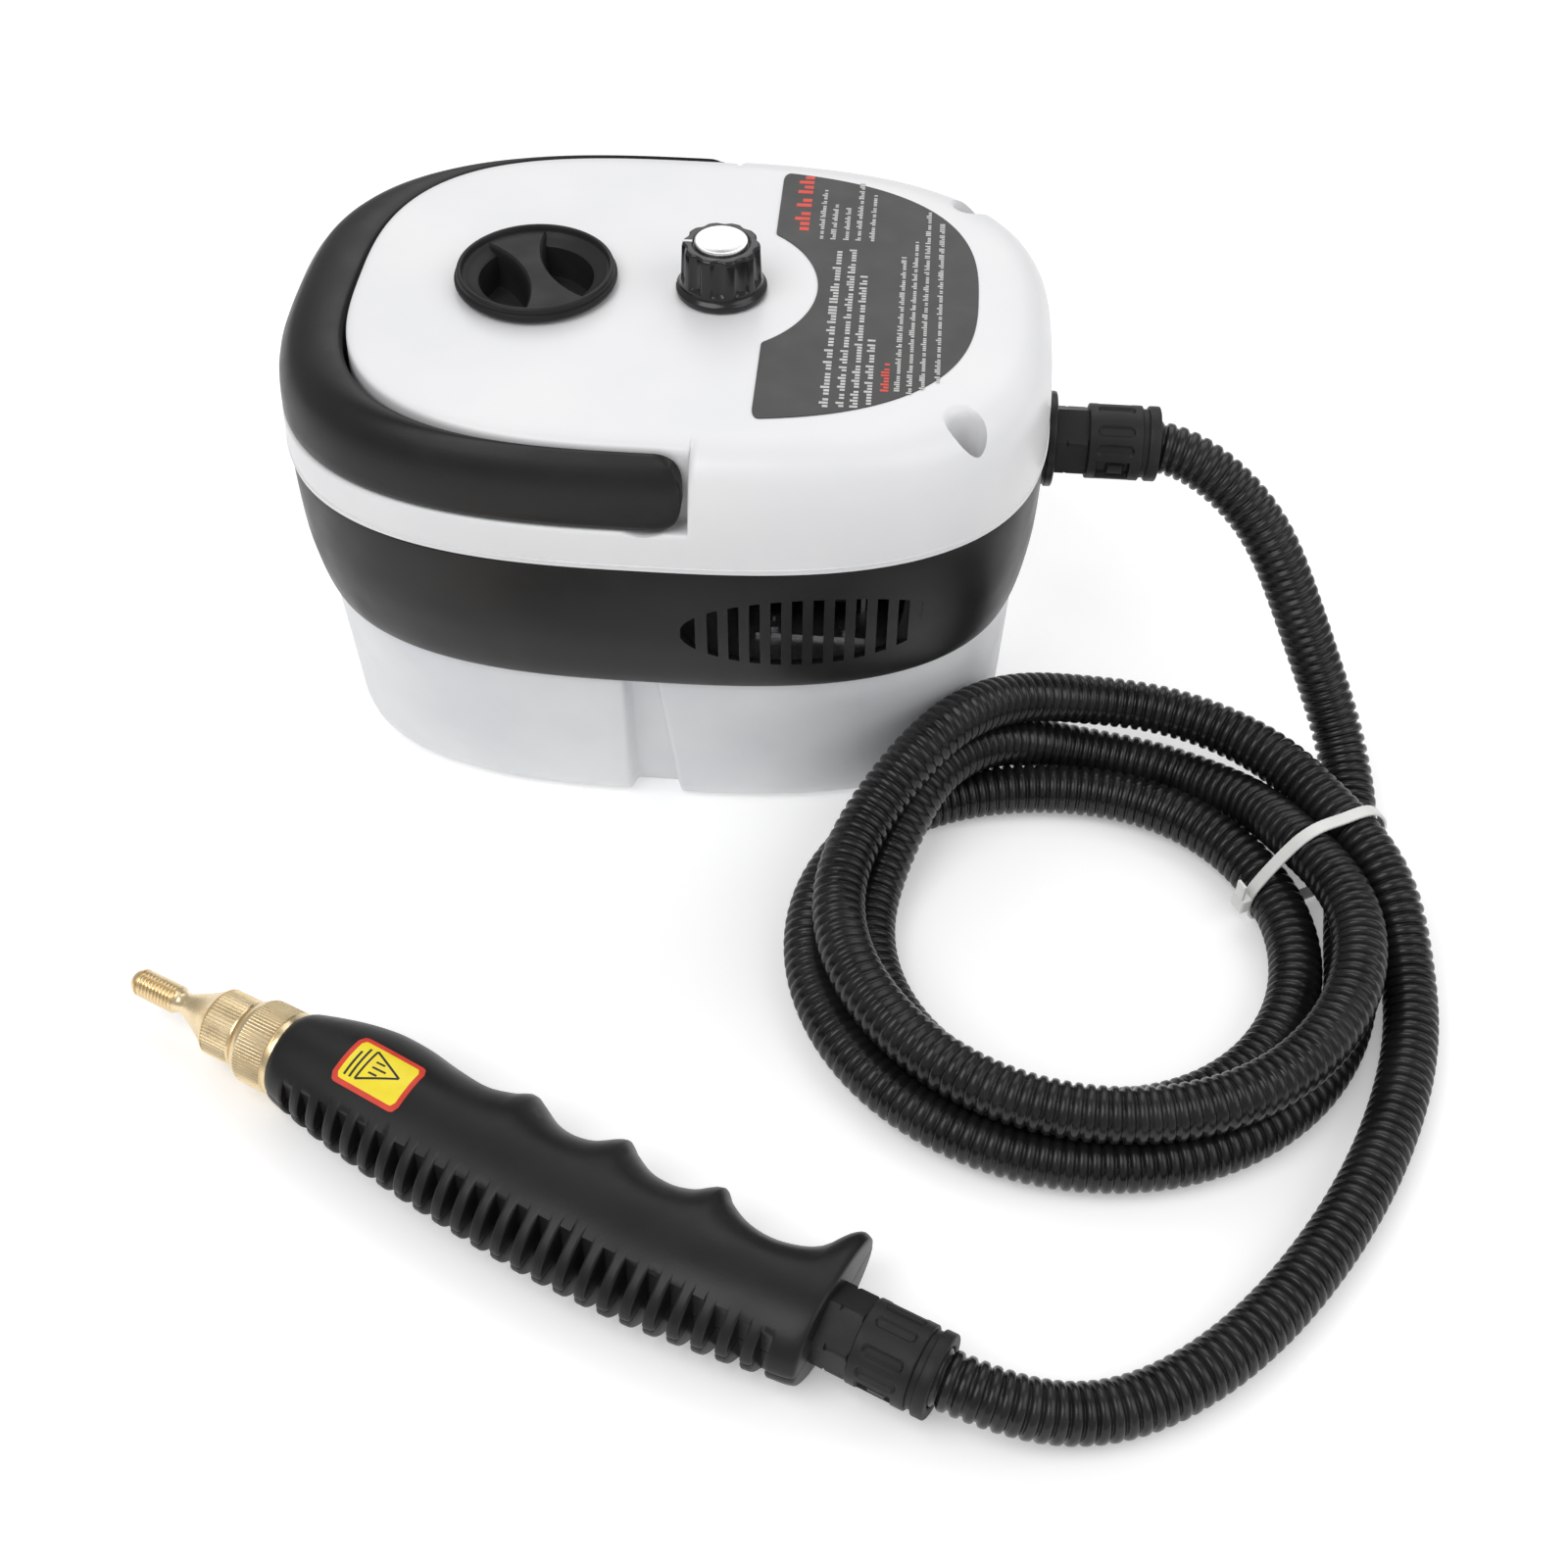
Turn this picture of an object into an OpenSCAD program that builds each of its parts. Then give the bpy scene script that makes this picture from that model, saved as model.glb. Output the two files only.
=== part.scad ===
// High-pressure hand-held steam cleaner: main unit, coiled steam hose and steam gun.
// Millimetres, +Z up. The origin is the centre of the water tank's underside,
// +X points to the end that the hose leaves, and -Y is the side with the air vent.

/* [Main unit] */
// Length of the white cover at its lower edge
body_l = 268; // [262:1:274]
// Width of the white cover at its lower edge
body_w = 199; // [195:1:203]
// Height of the cover's flat top above the table
top_z = 173; // [172:0.5:174]
// Height of the joint between the white cover and the black band
cover_z = 130; // [128:1:132]
// Height of the joint between the black band and the water tank
band_z = 74; // [72:1:76]
// Squareness of the plan outline: 2 is an ellipse, larger is boxier
outline_n = 2.8; // [2.5:0.1:3.2]
// Wall of the cover and the band
wall = 2.6; // [2:0.1:3]
// Wall of the water tank
tank_wall = 2.5; // [2:0.1:3]

/* [Carry handle] */
// Half length of the raised middle of the cover inside the handle
island_a = 108.7; // [107:0.1:110]
// Half width of the raised middle of the cover inside the handle
island_b = 89.2; // [88.5:0.1:90]
// Gap between the handle and the cover
handle_gap = 0.8; // [0.7:0.1:1]
// Height of the ledge that the handle lies on
ledge_z = 145.4; // [145:0.1:146]
// Where the handle's pivots are along the body
pivot_x = 1.5; // [0:0.5:2]
// Radius of a pivot pin
pin_r = 3; // [2.5:0.5:3.5]

/* [Filler and knob] */
// Where the filler is along the body
filler_x = -46; // [-47:0.5:-45]
// Radius of the filler cap's flange
cap_r = 28; // [27:0.5:28.5]
// Bore radius of the filler neck
neck_bore_r = 22; // [21.5:0.5:22]
// Where the control knob is along the body
knob_x = 18; // [17:0.5:19]
// Radius of the control knob's skirt
knob_r = 15.7; // [15:0.1:16]

/* [Steam hose] */
// Outer diameter of the corrugated hose
hose_d = 18.5; // [18:0.1:18.8]
// Height of the hose outlet above the table
outlet_z = 118; // [117:0.5:119]
// Centre of the coiled hose
coil_x = 158; // [158:0.5:160]
// Centre of the coiled hose, towards the front
coil_y = -144; // [-146:0.5:-144]
// Outer radius of the coil
coil_r = 100.5; // [99:0.5:100.5]
// Inner radius of the coil
coil_bore_r = 62; // [61:0.5:64]
// Height of the coil
coil_h = 35; // [34:1:36]

/* [Steam gun] */
// Front face of the gun's handle
gun_x = -104; // [-106:1:-102]
// Front face of the gun's handle, towards the front
gun_y = -219; // [-221:1:-217]
// Direction of the gun in the plane of the table
gun_angle = -24.4; // [-25:0.1:-24]
// Height of the gun's axis above the table
gun_z = 16.5; // [16.5:0.1:17]
// Length of the gun's handle
grip_l = 198; // [196:1:200]
// Number of cooling slots in the gun's handle
slot_count = 24; // [20:1:24]
// Distance between cooling slots
slot_pitch = 7.66; // [7.4:0.01:7.7]
// Radius of the threaded nozzle tip
thread_r = 4.85; // [4.8:0.05:5]

/* [Hidden] */
$fn = 64;

half_l = body_l / 2;
half_w = body_w / 2;
outline_k = 56;
over = 60;
fit = 0.3;

// Plan outlines as [height, half length, half width]
cover_outer = [
    [cover_z, half_l, half_w],
    [146, half_l - 0.4, half_w - 0.5],
    [158, half_l - 1.5, half_w - 1.7],
    [164, half_l - 3, half_w - 3.4],
    [168.5, half_l - 6, half_w - 6.5],
    [top_z - 1.5, half_l - 10.5, half_w - 11],
    [top_z, half_l - 17, half_w - 17.5]];
cover_inner = [
    [cover_z - 1, half_l - wall, half_w - wall],
    [158, half_l - wall - 1.5, half_w - wall - 1.7],
    [166, half_l - wall - 5.5, half_w - wall - 6],
    [top_z - wall, half_l - wall - 13, half_w - wall - 13.5]];
band_outer = [
    [band_z, half_l - 6.5, half_w - 7],
    [band_z + 1, half_l - 5.5, half_w - 6],
    [80, half_l - 4, half_w - 4.4],
    [88, half_l - 2.5, half_w - 2.9],
    [100, half_l - 1.1, half_w - 1.2],
    [116, half_l - 0.6, half_w - 0.6],
    [cover_z - fit, half_l - 0.6, half_w - 0.6]];
band_inner = [
    [band_z - 1, half_l - 8.4, half_w - 9],
    [80, half_l - 4 - wall, half_w - 4.4 - wall],
    [100, half_l - 1.1 - wall, half_w - 1.2 - wall],
    [cover_z, half_l - 0.6 - wall, half_w - 0.6 - wall]];
tank_rim_z = 79;
tank_outer = [
    [0, 119, 71.5],
    [1.2, 122.5, 75],
    [4, 124.8, 77.2],
    [9, 125.6, 79],
    [band_z - fit, half_l - 6.2, half_w - 7.6]];
tank_rim = [
    [band_z - 1, half_l - 8.8, half_w - 9.5],
    [tank_rim_z, half_l - 8.8, half_w - 9.5]];
tank_floor = 3;
tank_inner = [
    [tank_floor, 115, 68],
    [9, 125.6 - tank_wall, 79 - tank_wall],
    [tank_rim_z + 1, half_l - 11.3, half_w - 12]];
gasket_t = 1.5;
deck_z = tank_rim_z + gasket_t;
deck_t = 3;
deck_top = deck_z + deck_t;

// Carry handle
recess_end_x = 16;
handle_end_x = 14;
arm_half_h = 12.6;
pivot_z = 158.5;
hub_clear_r = 14.5;
end_corner_r = 9;
bore_y = island_b + handle_gap;

// Cover screws: two in the wells, two under the handle
well_x = 101.5;
well_y = 66.5;
well_run = [3.5, 8];
well_r = 5.6;
well_floor_z = 150;
ledge_screw_x = -121;
ledge_screw_y = 26;
screw_r = 1.5;
screw_head_r = 3.4;
deck_screw_x = 85;
deck_screw_y = 74;

// Filler
cap_plug_r = neck_bore_r - 0.6;
cap_plug_bottom = top_z - 14;
cap_top = top_z + 6.3;
bridge_angle = 116;

// Knob
knob_bottom = top_z + 0.8;
knob_top = top_z + 18.7;
shaft_r = 3;
pot_z = 160;

// Label on the cover
label_x = 34;
label_a = 106;
label_b = 77;
label_t = 0.4;
label_y = 3.3;

// Heater, pump and board
heater = [84, 50, 36];
heater_at = [28, -5, 92];
pump_at = [29, -48, 103];
pump_r = 17;
pump_l = 52;
tube_r = 4;
board_at = [60, 0, 150];
board = [70, 50, 1.6];

// Power cord bush on the back of the band
cord_at = [40, 97.4, 100];
cord_r = 4.6;

// Hose glands: stretches along the axis
gland_flange_l = 3.8;
gland_hex_l = 7.7;
gland_sleeve_l = 19.3;
gland_groove_l = 2;
gland_ring_l = 4.2;
gland_flange_r = 14.3;
gland_hex_r = 13;
gland_sleeve_r = 13.35;
gland_thread_r = 8.8;
locknut_r = 12;
gland_seat = 30;
gland_l = gland_flange_l + gland_hex_l + gland_sleeve_l + gland_groove_l + gland_ring_l;
outlet_plate_x = half_l + 3.4;

// Hose route, chosen by hand
hose_r = hose_d / 2;
lead_route = [
    [outlet_plate_x + gland_seat, 0, outlet_z],
    [175.6, 0, outlet_z],
    [187, -2.6, 115.4],
    [201, -8, 108],
    [213, -14, 98],
    [221, -19, 87],
    [229, -24.5, 72],
    [237, -30, 56],
    [244.5, -36.5, 41],
    [251, -45, 28.5],
    [255.5, -57, 18],
    [257.5, -72, 12],
    [256, -88, 9.5],
    [254.2, -103, 9.4],
    [252, -120, 9.4]];
tail_route = concat([gun_point(gland_seat + grip_l), gun_point(grip_l + gland_l + 2)], [
    [126, -321, 15],
    [140, -322.5, 12],
    [154, -321, 10],
    [168, -316.5, 9.4],
    [183, -308, 9.4],
    [198, -296, 9.4],
    [212, -281.5, 9.4],
    [225, -265, 9.4],
    [237, -247, 9.4],
    [248, -227, 9.4],
    [257, -206, 9.4],
    [264, -184, 9.4],
    [267.5, -163, 9.5],
    [267, -145, 13.8],
    [264, -128, 22.6],
    [258, -112, 27.2],
    [249.5, -96, 27.3],
    [240, -81, 27]]);
coil_low_z = 0.3;
coil_taper_z = 10;
coil_taper = 3.5;
tie_at = [212, -122];
tie_angle = 29;
tie_w = 4.6;
tie_t = 1.2;

// Gun handle stations: [along, finger side, rib side, half thickness]
grip_stations = [
    [0, 15, 15, 15],
    [2.5, 16.3, 16, 15.6],
    [15, 20.5, 19, 16.2],
    [28, 22.8, 21.6, 16.5],
    [41, 22.3, 23.6, 16.5],
    [54, 20, 25.4, 16.5],
    [66, 19, 26.8, 16.5],
    [75, 21.5, 27.7, 16.5],
    [80, 24.4, 28.2, 16.5],
    [84, 22.5, 28.5, 16.5],
    [93, 17.8, 29.2, 16.5],
    [100, 16.7, 29.6, 16.5],
    [107, 18.4, 30, 16.5],
    [115, 24.2, 30.2, 16.5],
    [120, 20.8, 30.2, 16.5],
    [128, 16.8, 30.1, 16.5],
    [136, 16, 29.8, 16.5],
    [143, 18.2, 29.4, 16.5],
    [150, 23.8, 28.8, 16.5],
    [155, 19.6, 28.2, 16.5],
    [163, 15.6, 27.2, 16.5],
    [172, 14.4, 26, 16.5],
    [181, 16.6, 24.6, 16.5],
    [187, 20.6, 23.6, 16.5],
    [191.5, 29, 23, 16.5],
    [195, 31, 22.6, 16.5],
    [grip_l, 29, 21.6, 15.5]];
cavity_stations = [
    [8, 10.5, 9.5, 10.5],
    [28, 18, 12.5, 13.3],
    [66, 15, 12.5, 13.3],
    [100, 13, 12.5, 13.3],
    [136, 12.4, 12.5, 13.3],
    [172, 12, 12.5, 13.3],
    [grip_l - 8, 13, 12.5, 13]];
grip_k = 32;
slot_first = 8.7;
slot_w = 3.8;
collar_l = 16.7;
collar_r = 14.5;
barrel_l = 13;
barrel_r = 11.6;
cone_l = 13;
neck_l = 3.2;
neck_r = 3.6;
thread_l = 17;
nozzle_gap = 0.8;
sticker_t = 0.3;
sticker_stations = [for (s = grip_stations) if (s[0] > 10 && s[0] < 70) s];

// ---- shared functions and shapes ----

function side(v) = v < 0 ? -1 : 1;

// Points of a superellipse of half axes a and b
function outline(a, b, k = outline_k, n = outline_n) = [
    for (i = [0 : k - 1])
        let (c = cos(360 * i / k), s = sin(360 * i / k))
        [a * side(c) * pow(abs(c), 2 / n), b * side(s) * pow(abs(s), 2 / n)]];

// Faces that join rows of k points into a closed solid
function skin_faces(rows, k) = concat(
    [[for (i = [0 : k - 1]) i]],
    [[for (i = [0 : k - 1]) rows * k - 1 - i]],
    [for (j = [0 : rows - 2]) for (i = [0 : k - 1])
        let (n = (i + 1) % k)
        [j * k + i, (j + 1) * k + i, (j + 1) * k + n, j * k + n]]);

// A solid through plan outlines at several heights
module loft(levels) {
    points = [for (l = levels) for (p = outline(l[1], l[2])) [p[0], p[1], l[0]]];
    polyhedron(points = points, faces = skin_faces(len(levels), outline_k), convexity = 6);
}

function unit(v) = v / norm(v);
function tangent(path, i) = unit(path[min(i + 1, len(path) - 1)] - path[max(i - 1, 0)]);

// A round tube of radius r swept along a route of points that never runs along up
module sweep(path, r, k = 10, up = [0.1, 0.2, 1]) {
    points = [for (i = [0 : len(path) - 1])
        let (t = tangent(path, i), u = unit(cross(t, up)), v = cross(t, u))
        for (j = [0 : k - 1]) path[i] + r * (cos(360 * j / k) * u + sin(360 * j / k) * v)];
    polyhedron(points = points, faces = skin_faces(len(path), k), convexity = 6);
}

// A quarter bend of a round tube, from +X towards +Y
module elbow(bend_r, r) {
    rotate_extrude(angle = 90) translate([bend_r, 0]) circle(r = r);
}

// A screw standing head up, with the head's underside at the origin
module screw(length, head_r = screw_head_r) {
    difference() {
        cylinder(r = head_r, h = 2.4);
        translate([-head_r * 0.6, -0.4, 1.4]) cube([head_r * 1.2, 0.8, 2]);
        translate([-0.4, -head_r * 0.6, 1.4]) cube([0.8, head_r * 1.2, 2]);
    }
    translate([0, 0, -length]) cylinder(r = screw_r, h = length);
}

// The places of the four cover screws, as [x, y, underside of the head]
cover_screw_places = [
    [well_x, well_y, well_floor_z],
    [well_x, -well_y, well_floor_z],
    [ledge_screw_x, ledge_screw_y, ledge_z - 2.6],
    [ledge_screw_x, -ledge_screw_y, ledge_z - 2.6]];
deck_screw_places = [for (sx = [-1, 1]) for (sy = [-1, 1]) [sx * deck_screw_x, sy * deck_screw_y]];

// ---- covers and casings ----

// The space round the left end that the handle lies in, down to its ledge
module handle_recess(floor_z, grow) {
    difference() {
        translate([-200, -150, floor_z]) cube([200 + recess_end_x, 300, 100]);
        loft([
            [floor_z - 5, island_a + grow, island_b + grow],
            [top_z - 3, island_a + grow - 1, island_b + grow - 1],
            [top_z + 20, island_a + grow - 1.2, island_b + grow - 1.2]]);
    }
}

module cover_shell() {
    difference() {
        loft(cover_outer);
        difference() {
            loft(cover_inner);
            handle_recess(ledge_z - wall, -wall);
        }
        handle_recess(ledge_z, 0);
        for (s = [-1, 1])
            translate([pivot_x, s * (island_b + 10), pivot_z]) rotate([90, 0, 0])
                cylinder(r = hub_clear_r, h = 20 - 0.4, center = true);
    }
}

// The hollow over a cover screw: a plain hole in the ledge, a long well in the shoulder
module screw_well(p, grow = 0) {
    if (p[0] < 0) translate(p) cylinder(r = screw_head_r + 0.4 + grow, h = 60);
    else translate(p) hull() {
        cylinder(r = well_r + grow, h = 60, $fn = 32);
        translate([well_run[0], side(p[1]) * well_run[1], 0])
            cylinder(r = well_r + grow, h = 60, $fn = 32);
    }
}

module top_cover() color("white") {
    difference() {
        union() {
            cover_shell();
            intersection() {
                for (p = [cover_screw_places[0], cover_screw_places[1]])
                    translate([0, 0, -3]) screw_well(p, 2);
                loft(cover_outer);
            }
            for (p = [cover_screw_places[2], cover_screw_places[3]])
                translate([p[0], p[1], p[2] - 3]) cylinder(r = screw_head_r + 2.4, h = ledge_z - p[2] + 3);
            for (s = [-1, 1])
                translate([pivot_x, s * (island_b - 5), pivot_z]) rotate([90, 0, 0])
                    cylinder(r = 6, h = 8, center = true);
        }
        for (p = cover_screw_places) {
            screw_well(p);
            translate(p - [0, 0, 6]) cylinder(r = screw_r + 0.3, h = 20);
        }
        for (s = [-1, 1])
            translate([pivot_x, s * (island_b - 5), pivot_z]) rotate([90, 0, 0])
                cylinder(r = pin_r + 0.02, h = 30, center = true);
        translate([filler_x, 0, top_z - 10]) cylinder(r = neck_bore_r + 2.3, h = 20);
        translate([knob_x, 0, top_z - 10]) cylinder(r = 4, h = 20);
    }
}

// One slot of the lens-shaped vent, i pitches from its middle
module vent_slot(i) {
    pitch = 7.06;
    half_len = 43;
    half_high = 15.5;
    x = i * pitch;
    half = half_high * sqrt(1 - pow(x / half_len, 2));
    translate([55 + x - 1.8, -half_w - 5, 103 - half]) cube([3.6, 20, 2 * half]);
}

module mid_band() color([0.08, 0.08, 0.08]) {
    difference() {
        union() {
            difference() {
                loft(band_outer);
                loft(band_inner);
            }
            translate([half_l - 6, 0, outlet_z]) rotate([0, 90, 0])
                intersection() {
                    cylinder(r = 17, h = outlet_plate_x - half_l + 6);
                    translate([-(cover_z - fit - outlet_z), -20, 0]) cube([40, 40, 20]);
                }
            translate([half_l + 0.7, 0, outlet_z]) rotate([0, 90, 0]) cylinder(r = 17, h = 2.7);
        }
        for (i = [-5.5 : 1 : 5.5]) vent_slot(i);
        translate([half_l - 20, 0, outlet_z]) rotate([0, 90, 0]) cylinder(r = gland_thread_r + 0.3, h = 40);
        translate([cord_at[0], cord_at[1] - 10, cord_at[2]]) rotate([-90, 0, 0]) cylinder(r = 8.3, h = 20);
    }
}

// The upright groove in the tank's front wall
module tank_groove(grow) {
    hull() {
        translate([-8.5 - grow, -110, band_z]) cube([11 + 2 * grow, 24 + grow, 1]);
        translate([-10.8 - grow, -110, -1]) cube([18.3 + 2 * grow, 42 + grow, 1 + 0.01]);
    }
}

module water_tank() color([0.85, 0.88, 0.92, 0.6]) {
    difference() {
        union() {
            difference() {
                union() {
                    loft(tank_outer);
                    loft(tank_rim);
                }
                loft(tank_inner);
            }
            intersection() {
                loft(tank_outer);
                union() {
                    tank_groove(tank_wall);
                    for (p = deck_screw_places) translate([p[0], p[1], 56]) cylinder(r = 5, h = 30);
                }
            }
            intersection() {
                loft(tank_rim);
                for (p = deck_screw_places) translate([p[0], p[1], 70]) cylinder(r = 5, h = 30);
            }
        }
        tank_groove(0);
        for (p = deck_screw_places) translate([p[0], p[1], 62]) cylinder(r = screw_r + 0.05, h = 30);
    }
}

module tank_gasket() color([0.15, 0.15, 0.15]) {
    difference() {
        loft([[tank_rim_z, half_l - 8.8, half_w - 9.5], [deck_z, half_l - 8.8, half_w - 9.5]]);
        loft([[tank_rim_z - 1, half_l - 12, half_w - 12.7], [deck_z + 1, half_l - 12, half_w - 12.7]]);
        for (p = deck_screw_places)
            translate([p[0], p[1], tank_rim_z - 1]) cylinder(r = screw_r + 0.2, h = 5);
    }
}

module deck_plate() color([0.75, 0.76, 0.78]) {
    difference() {
        union() {
            loft([[deck_z, half_l - 8.8, half_w - 9.5], [deck_top, half_l - 8.8, half_w - 9.5]]);
            for (p = cover_screw_places)
                translate([p[0], p[1], deck_z]) cylinder(r = 2.8, h = p[2] - 3.4 - deck_z);
        }
        for (p = cover_screw_places) translate([p[0], p[1], p[2] - 30]) cylinder(r = screw_r + 0.05, h = 40);
        for (p = deck_screw_places) translate([p[0], p[1], deck_z - 5]) cylinder(r = screw_r + 0.2, h = 20);
        translate([filler_x, 0, deck_z - 5]) cylinder(r = neck_bore_r + 2.3, h = 20);
        translate([16, pump_at[1], deck_z - 5]) cylinder(r = tube_r + 0.5, h = 20);
    }
}

module deck_screws() color("silver") {
    for (p = deck_screw_places) translate([p[0], p[1], deck_top]) screw(16);
}

module cover_screws() color("silver") {
    for (p = cover_screw_places) translate(p) screw(18);
}

module label_panel() color([0.12, 0.12, 0.12]) {
    translate([0, label_y, top_z]) linear_extrude(label_t)
        difference() {
            intersection() {
                polygon(outline(label_a, label_b, 72, 2.7));
                translate([label_x, -100]) square([200, 200]);
            }
            translate([8.8, 0]) circle(r = 42);
        }
}

// ---- filler ----

module filler_neck() color([0.9, 0.9, 0.9]) {
    translate([filler_x, 0, 0]) difference() {
        union() {
            translate([0, 0, deck_z]) cylinder(r = neck_bore_r + 2, h = top_z - 0.1 - deck_z);
            translate([0, 0, deck_top]) cylinder(r = neck_bore_r + 6, h = 3);
        }
        translate([0, 0, deck_z - 1]) cylinder(r = neck_bore_r, h = 100);
    }
}

module cap_seal() color([0.6, 0.2, 0.15]) {
    translate([filler_x, 0, top_z + 0.1]) difference() {
        cylinder(r = neck_bore_r + 1.8, h = 1.2);
        translate([0, 0, -1]) cylinder(r = cap_plug_r + 0.3, h = 4);
    }
}

// One finger hollow of the filler cap: a lens beside the bridge, which is narrowest in its middle
module finger_hollow(s) {
    translate([0, 0, cap_plug_bottom + 2.5]) linear_extrude(30)
        intersection() {
            circle(r = cap_plug_r - 1.6);
            translate([s * 42, 0]) circle(r = 37.5);
        }
}

module filler_cap() color([0.06, 0.06, 0.06]) {
    translate([filler_x, 0, 0]) rotate([0, 0, bridge_angle - 90]) difference() {
        union() {
            translate([0, 0, cap_plug_bottom]) cylinder(r = cap_plug_r, h = top_z - cap_plug_bottom + 3);
            translate([0, 0, top_z + 1.5]) cylinder(r = cap_r, h = 2);
            translate([0, 0, top_z + 3.4]) cylinder(r = cap_r - 0.8, h = cap_top - top_z - 3.4);
        }
        translate([0, 0, cap_top - 2]) cylinder(r = cap_r - 3, h = 5);
        for (s = [-1, 1]) finger_hollow(s);
    }
}

// ---- carry handle ----

module carry_handle() color([0.07, 0.07, 0.07]) {
    difference() {
        intersection() {
            loft(cover_outer);
            translate([-200, -150, pivot_z - arm_half_h]) cube([200 + handle_end_x, 300, 60]);
            translate([0, 150, 0]) rotate([90, 0, 0]) linear_extrude(300)
                hull() {
                    translate([handle_end_x - end_corner_r, pivot_z - arm_half_h + end_corner_r])
                        circle(r = end_corner_r, $fn = 32);
                    translate([handle_end_x - end_corner_r, pivot_z + arm_half_h - end_corner_r])
                        circle(r = end_corner_r, $fn = 32);
                    translate([-200, pivot_z - arm_half_h]) square([10, 40]);
                    translate([-30, pivot_z + arm_half_h + 3]) circle(r = 1, $fn = 32);
                }
        }
        loft([
            [ledge_z - 1, island_a + handle_gap, island_b + handle_gap],
            [top_z + 10, island_a + handle_gap, island_b + handle_gap]]);
        for (s = [-1, 1])
            translate([pivot_x, s * (bore_y - 0.5), pivot_z]) rotate([-s * 90, 0, 0])
                cylinder(r = pin_r + 0.05, h = 5.5);
    }
}

module handle_pin(s) color("silver") {
    translate([pivot_x, s * (island_b - 12), pivot_z]) rotate([-s * 90, 0, 0]) {
        cylinder(r = pin_r + 2, h = 2);
        cylinder(r = pin_r, h = 16.5);
    }
}

// ---- control knob ----

module knob() color([0.06, 0.06, 0.06]) {
    translate([knob_x, 0, 0]) difference() {
        union() {
            translate([0, 0, knob_bottom]) cylinder(r = knob_r, h = 2);
            translate([0, 0, knob_bottom + 1.9]) cylinder(r1 = knob_r - 0.3, r2 = knob_r - 1.8, h = 1.2);
            translate([0, 0, knob_bottom + 2.5])
                cylinder(r1 = 13.9, r2 = 13.2, h = knob_top - knob_bottom - 2.5);
        }
        for (i = [0 : 9]) rotate([0, 0, 36 * i + 18])
            translate([17.2, 0, knob_bottom + 5]) cylinder(r = 4.6, h = 30);
        translate([0, 0, knob_bottom - 1]) cylinder(r = 8.5, h = 5);
        translate([0, 0, knob_bottom - 1]) cylinder(r = shaft_r + 0.02, h = 14);
        translate([0, 0, knob_top - 0.8]) cylinder(r = 9.3, h = 3);
    }
}

module knob_disc() color([0.85, 0.85, 0.87]) {
    translate([knob_x, 0, knob_top - 0.8]) cylinder(r = 9.1, h = 1.9);
}

module control_shaft() color("silver") {
    translate([knob_x, 0, pot_z + 9]) cylinder(r = shaft_r, h = knob_bottom + 12 - pot_z - 9);
}

module control_pot() color([0.35, 0.35, 0.38]) {
    translate([knob_x, 0, 0]) difference() {
        union() {
            translate([0, 0, pot_z]) cylinder(r = 8.5, h = top_z - wall - pot_z);
            translate([0, 0, pot_z]) cylinder(r = 3.8, h = top_z + 2.6 - pot_z);
            translate([-4, -13, pot_z + 1]) cube([8, 6, 1]);
        }
        translate([0, 0, pot_z + 8]) cylinder(r = shaft_r + 0.05, h = 20);
    }
}

module pot_nut() color("silver") {
    translate([knob_x, 0, top_z]) difference() {
        cylinder(r = 6.4, h = 2.2, $fn = 6);
        translate([0, 0, -1]) cylinder(r = 3.85, h = 5);
    }
}

// ---- inside the main unit ----

module control_board() color([0.1, 0.4, 0.2]) {
    corner = board_at - [board[0] / 2, board[1] / 2, 0];
    difference() {
        translate(corner) cube(board);
        for (p = board_hole_places) translate(p - [0, 0, 1]) cylinder(r = 1.7, h = 4);
    }
    translate(board_at + [-28, -18, board[2]]) cube([19, 15, 12]);
    translate(board_at + [-28, 3, board[2]]) cube([12, 16, 9]);
    translate(board_at + [2, -19, board[2]]) cube([22, 14, 13]);
    translate(board_at + [6, 8, board[2]]) cylinder(r = 5, h = 12);
    translate(board_at + [20, 8, board[2]]) cylinder(r = 5, h = 12);
}

board_hole_places = [for (sx = [-1, 1]) for (sy = [-1, 1]) board_at + [sx * 31.5, sy * 21.5, 0]];

module board_spacers() color([0.9, 0.9, 0.85]) {
    for (p = board_hole_places) translate([p[0], p[1], board_at[2] + board[2]]) difference() {
        cylinder(r = 3, h = top_z - wall - board_at[2] - board[2]);
        translate([0, 0, -1]) cylinder(r = screw_r + 0.05, h = 12);
    }
}

module board_screws() color("silver") {
    for (p = board_hole_places) translate(p) rotate([180, 0, 0]) screw(10, 2.6);
}

module heating_block() color([0.7, 0.7, 0.72]) {
    difference() {
        union() {
            translate(heater_at) cube(heater);
            translate([100, heater_at[1] - 7, pump_at[2]]) rotate([-90, 0, 0]) cylinder(r = 5.5, h = 8);
            translate([heater_at[0] + heater[0] - 1, 0, outlet_z]) rotate([0, 90, 0])
                cylinder(r = 6.5, h = 4);
        }
        for (i = [0 : 5])
            translate([heater_at[0] + 8 + 12 * i, heater_at[1] + 7, heater_at[2] + heater[2] - 5])
                cube([5, heater[1] - 14, 6]);
        translate([100, heater_at[1] - 8, pump_at[2]]) rotate([-90, 0, 0])
            cylinder(r = tube_r + 0.05, h = 30);
        translate([heater_at[0] + 60, 0, outlet_z]) rotate([0, 90, 0]) cylinder(r = tube_r + 0.05, h = 40);
    }
}

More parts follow.
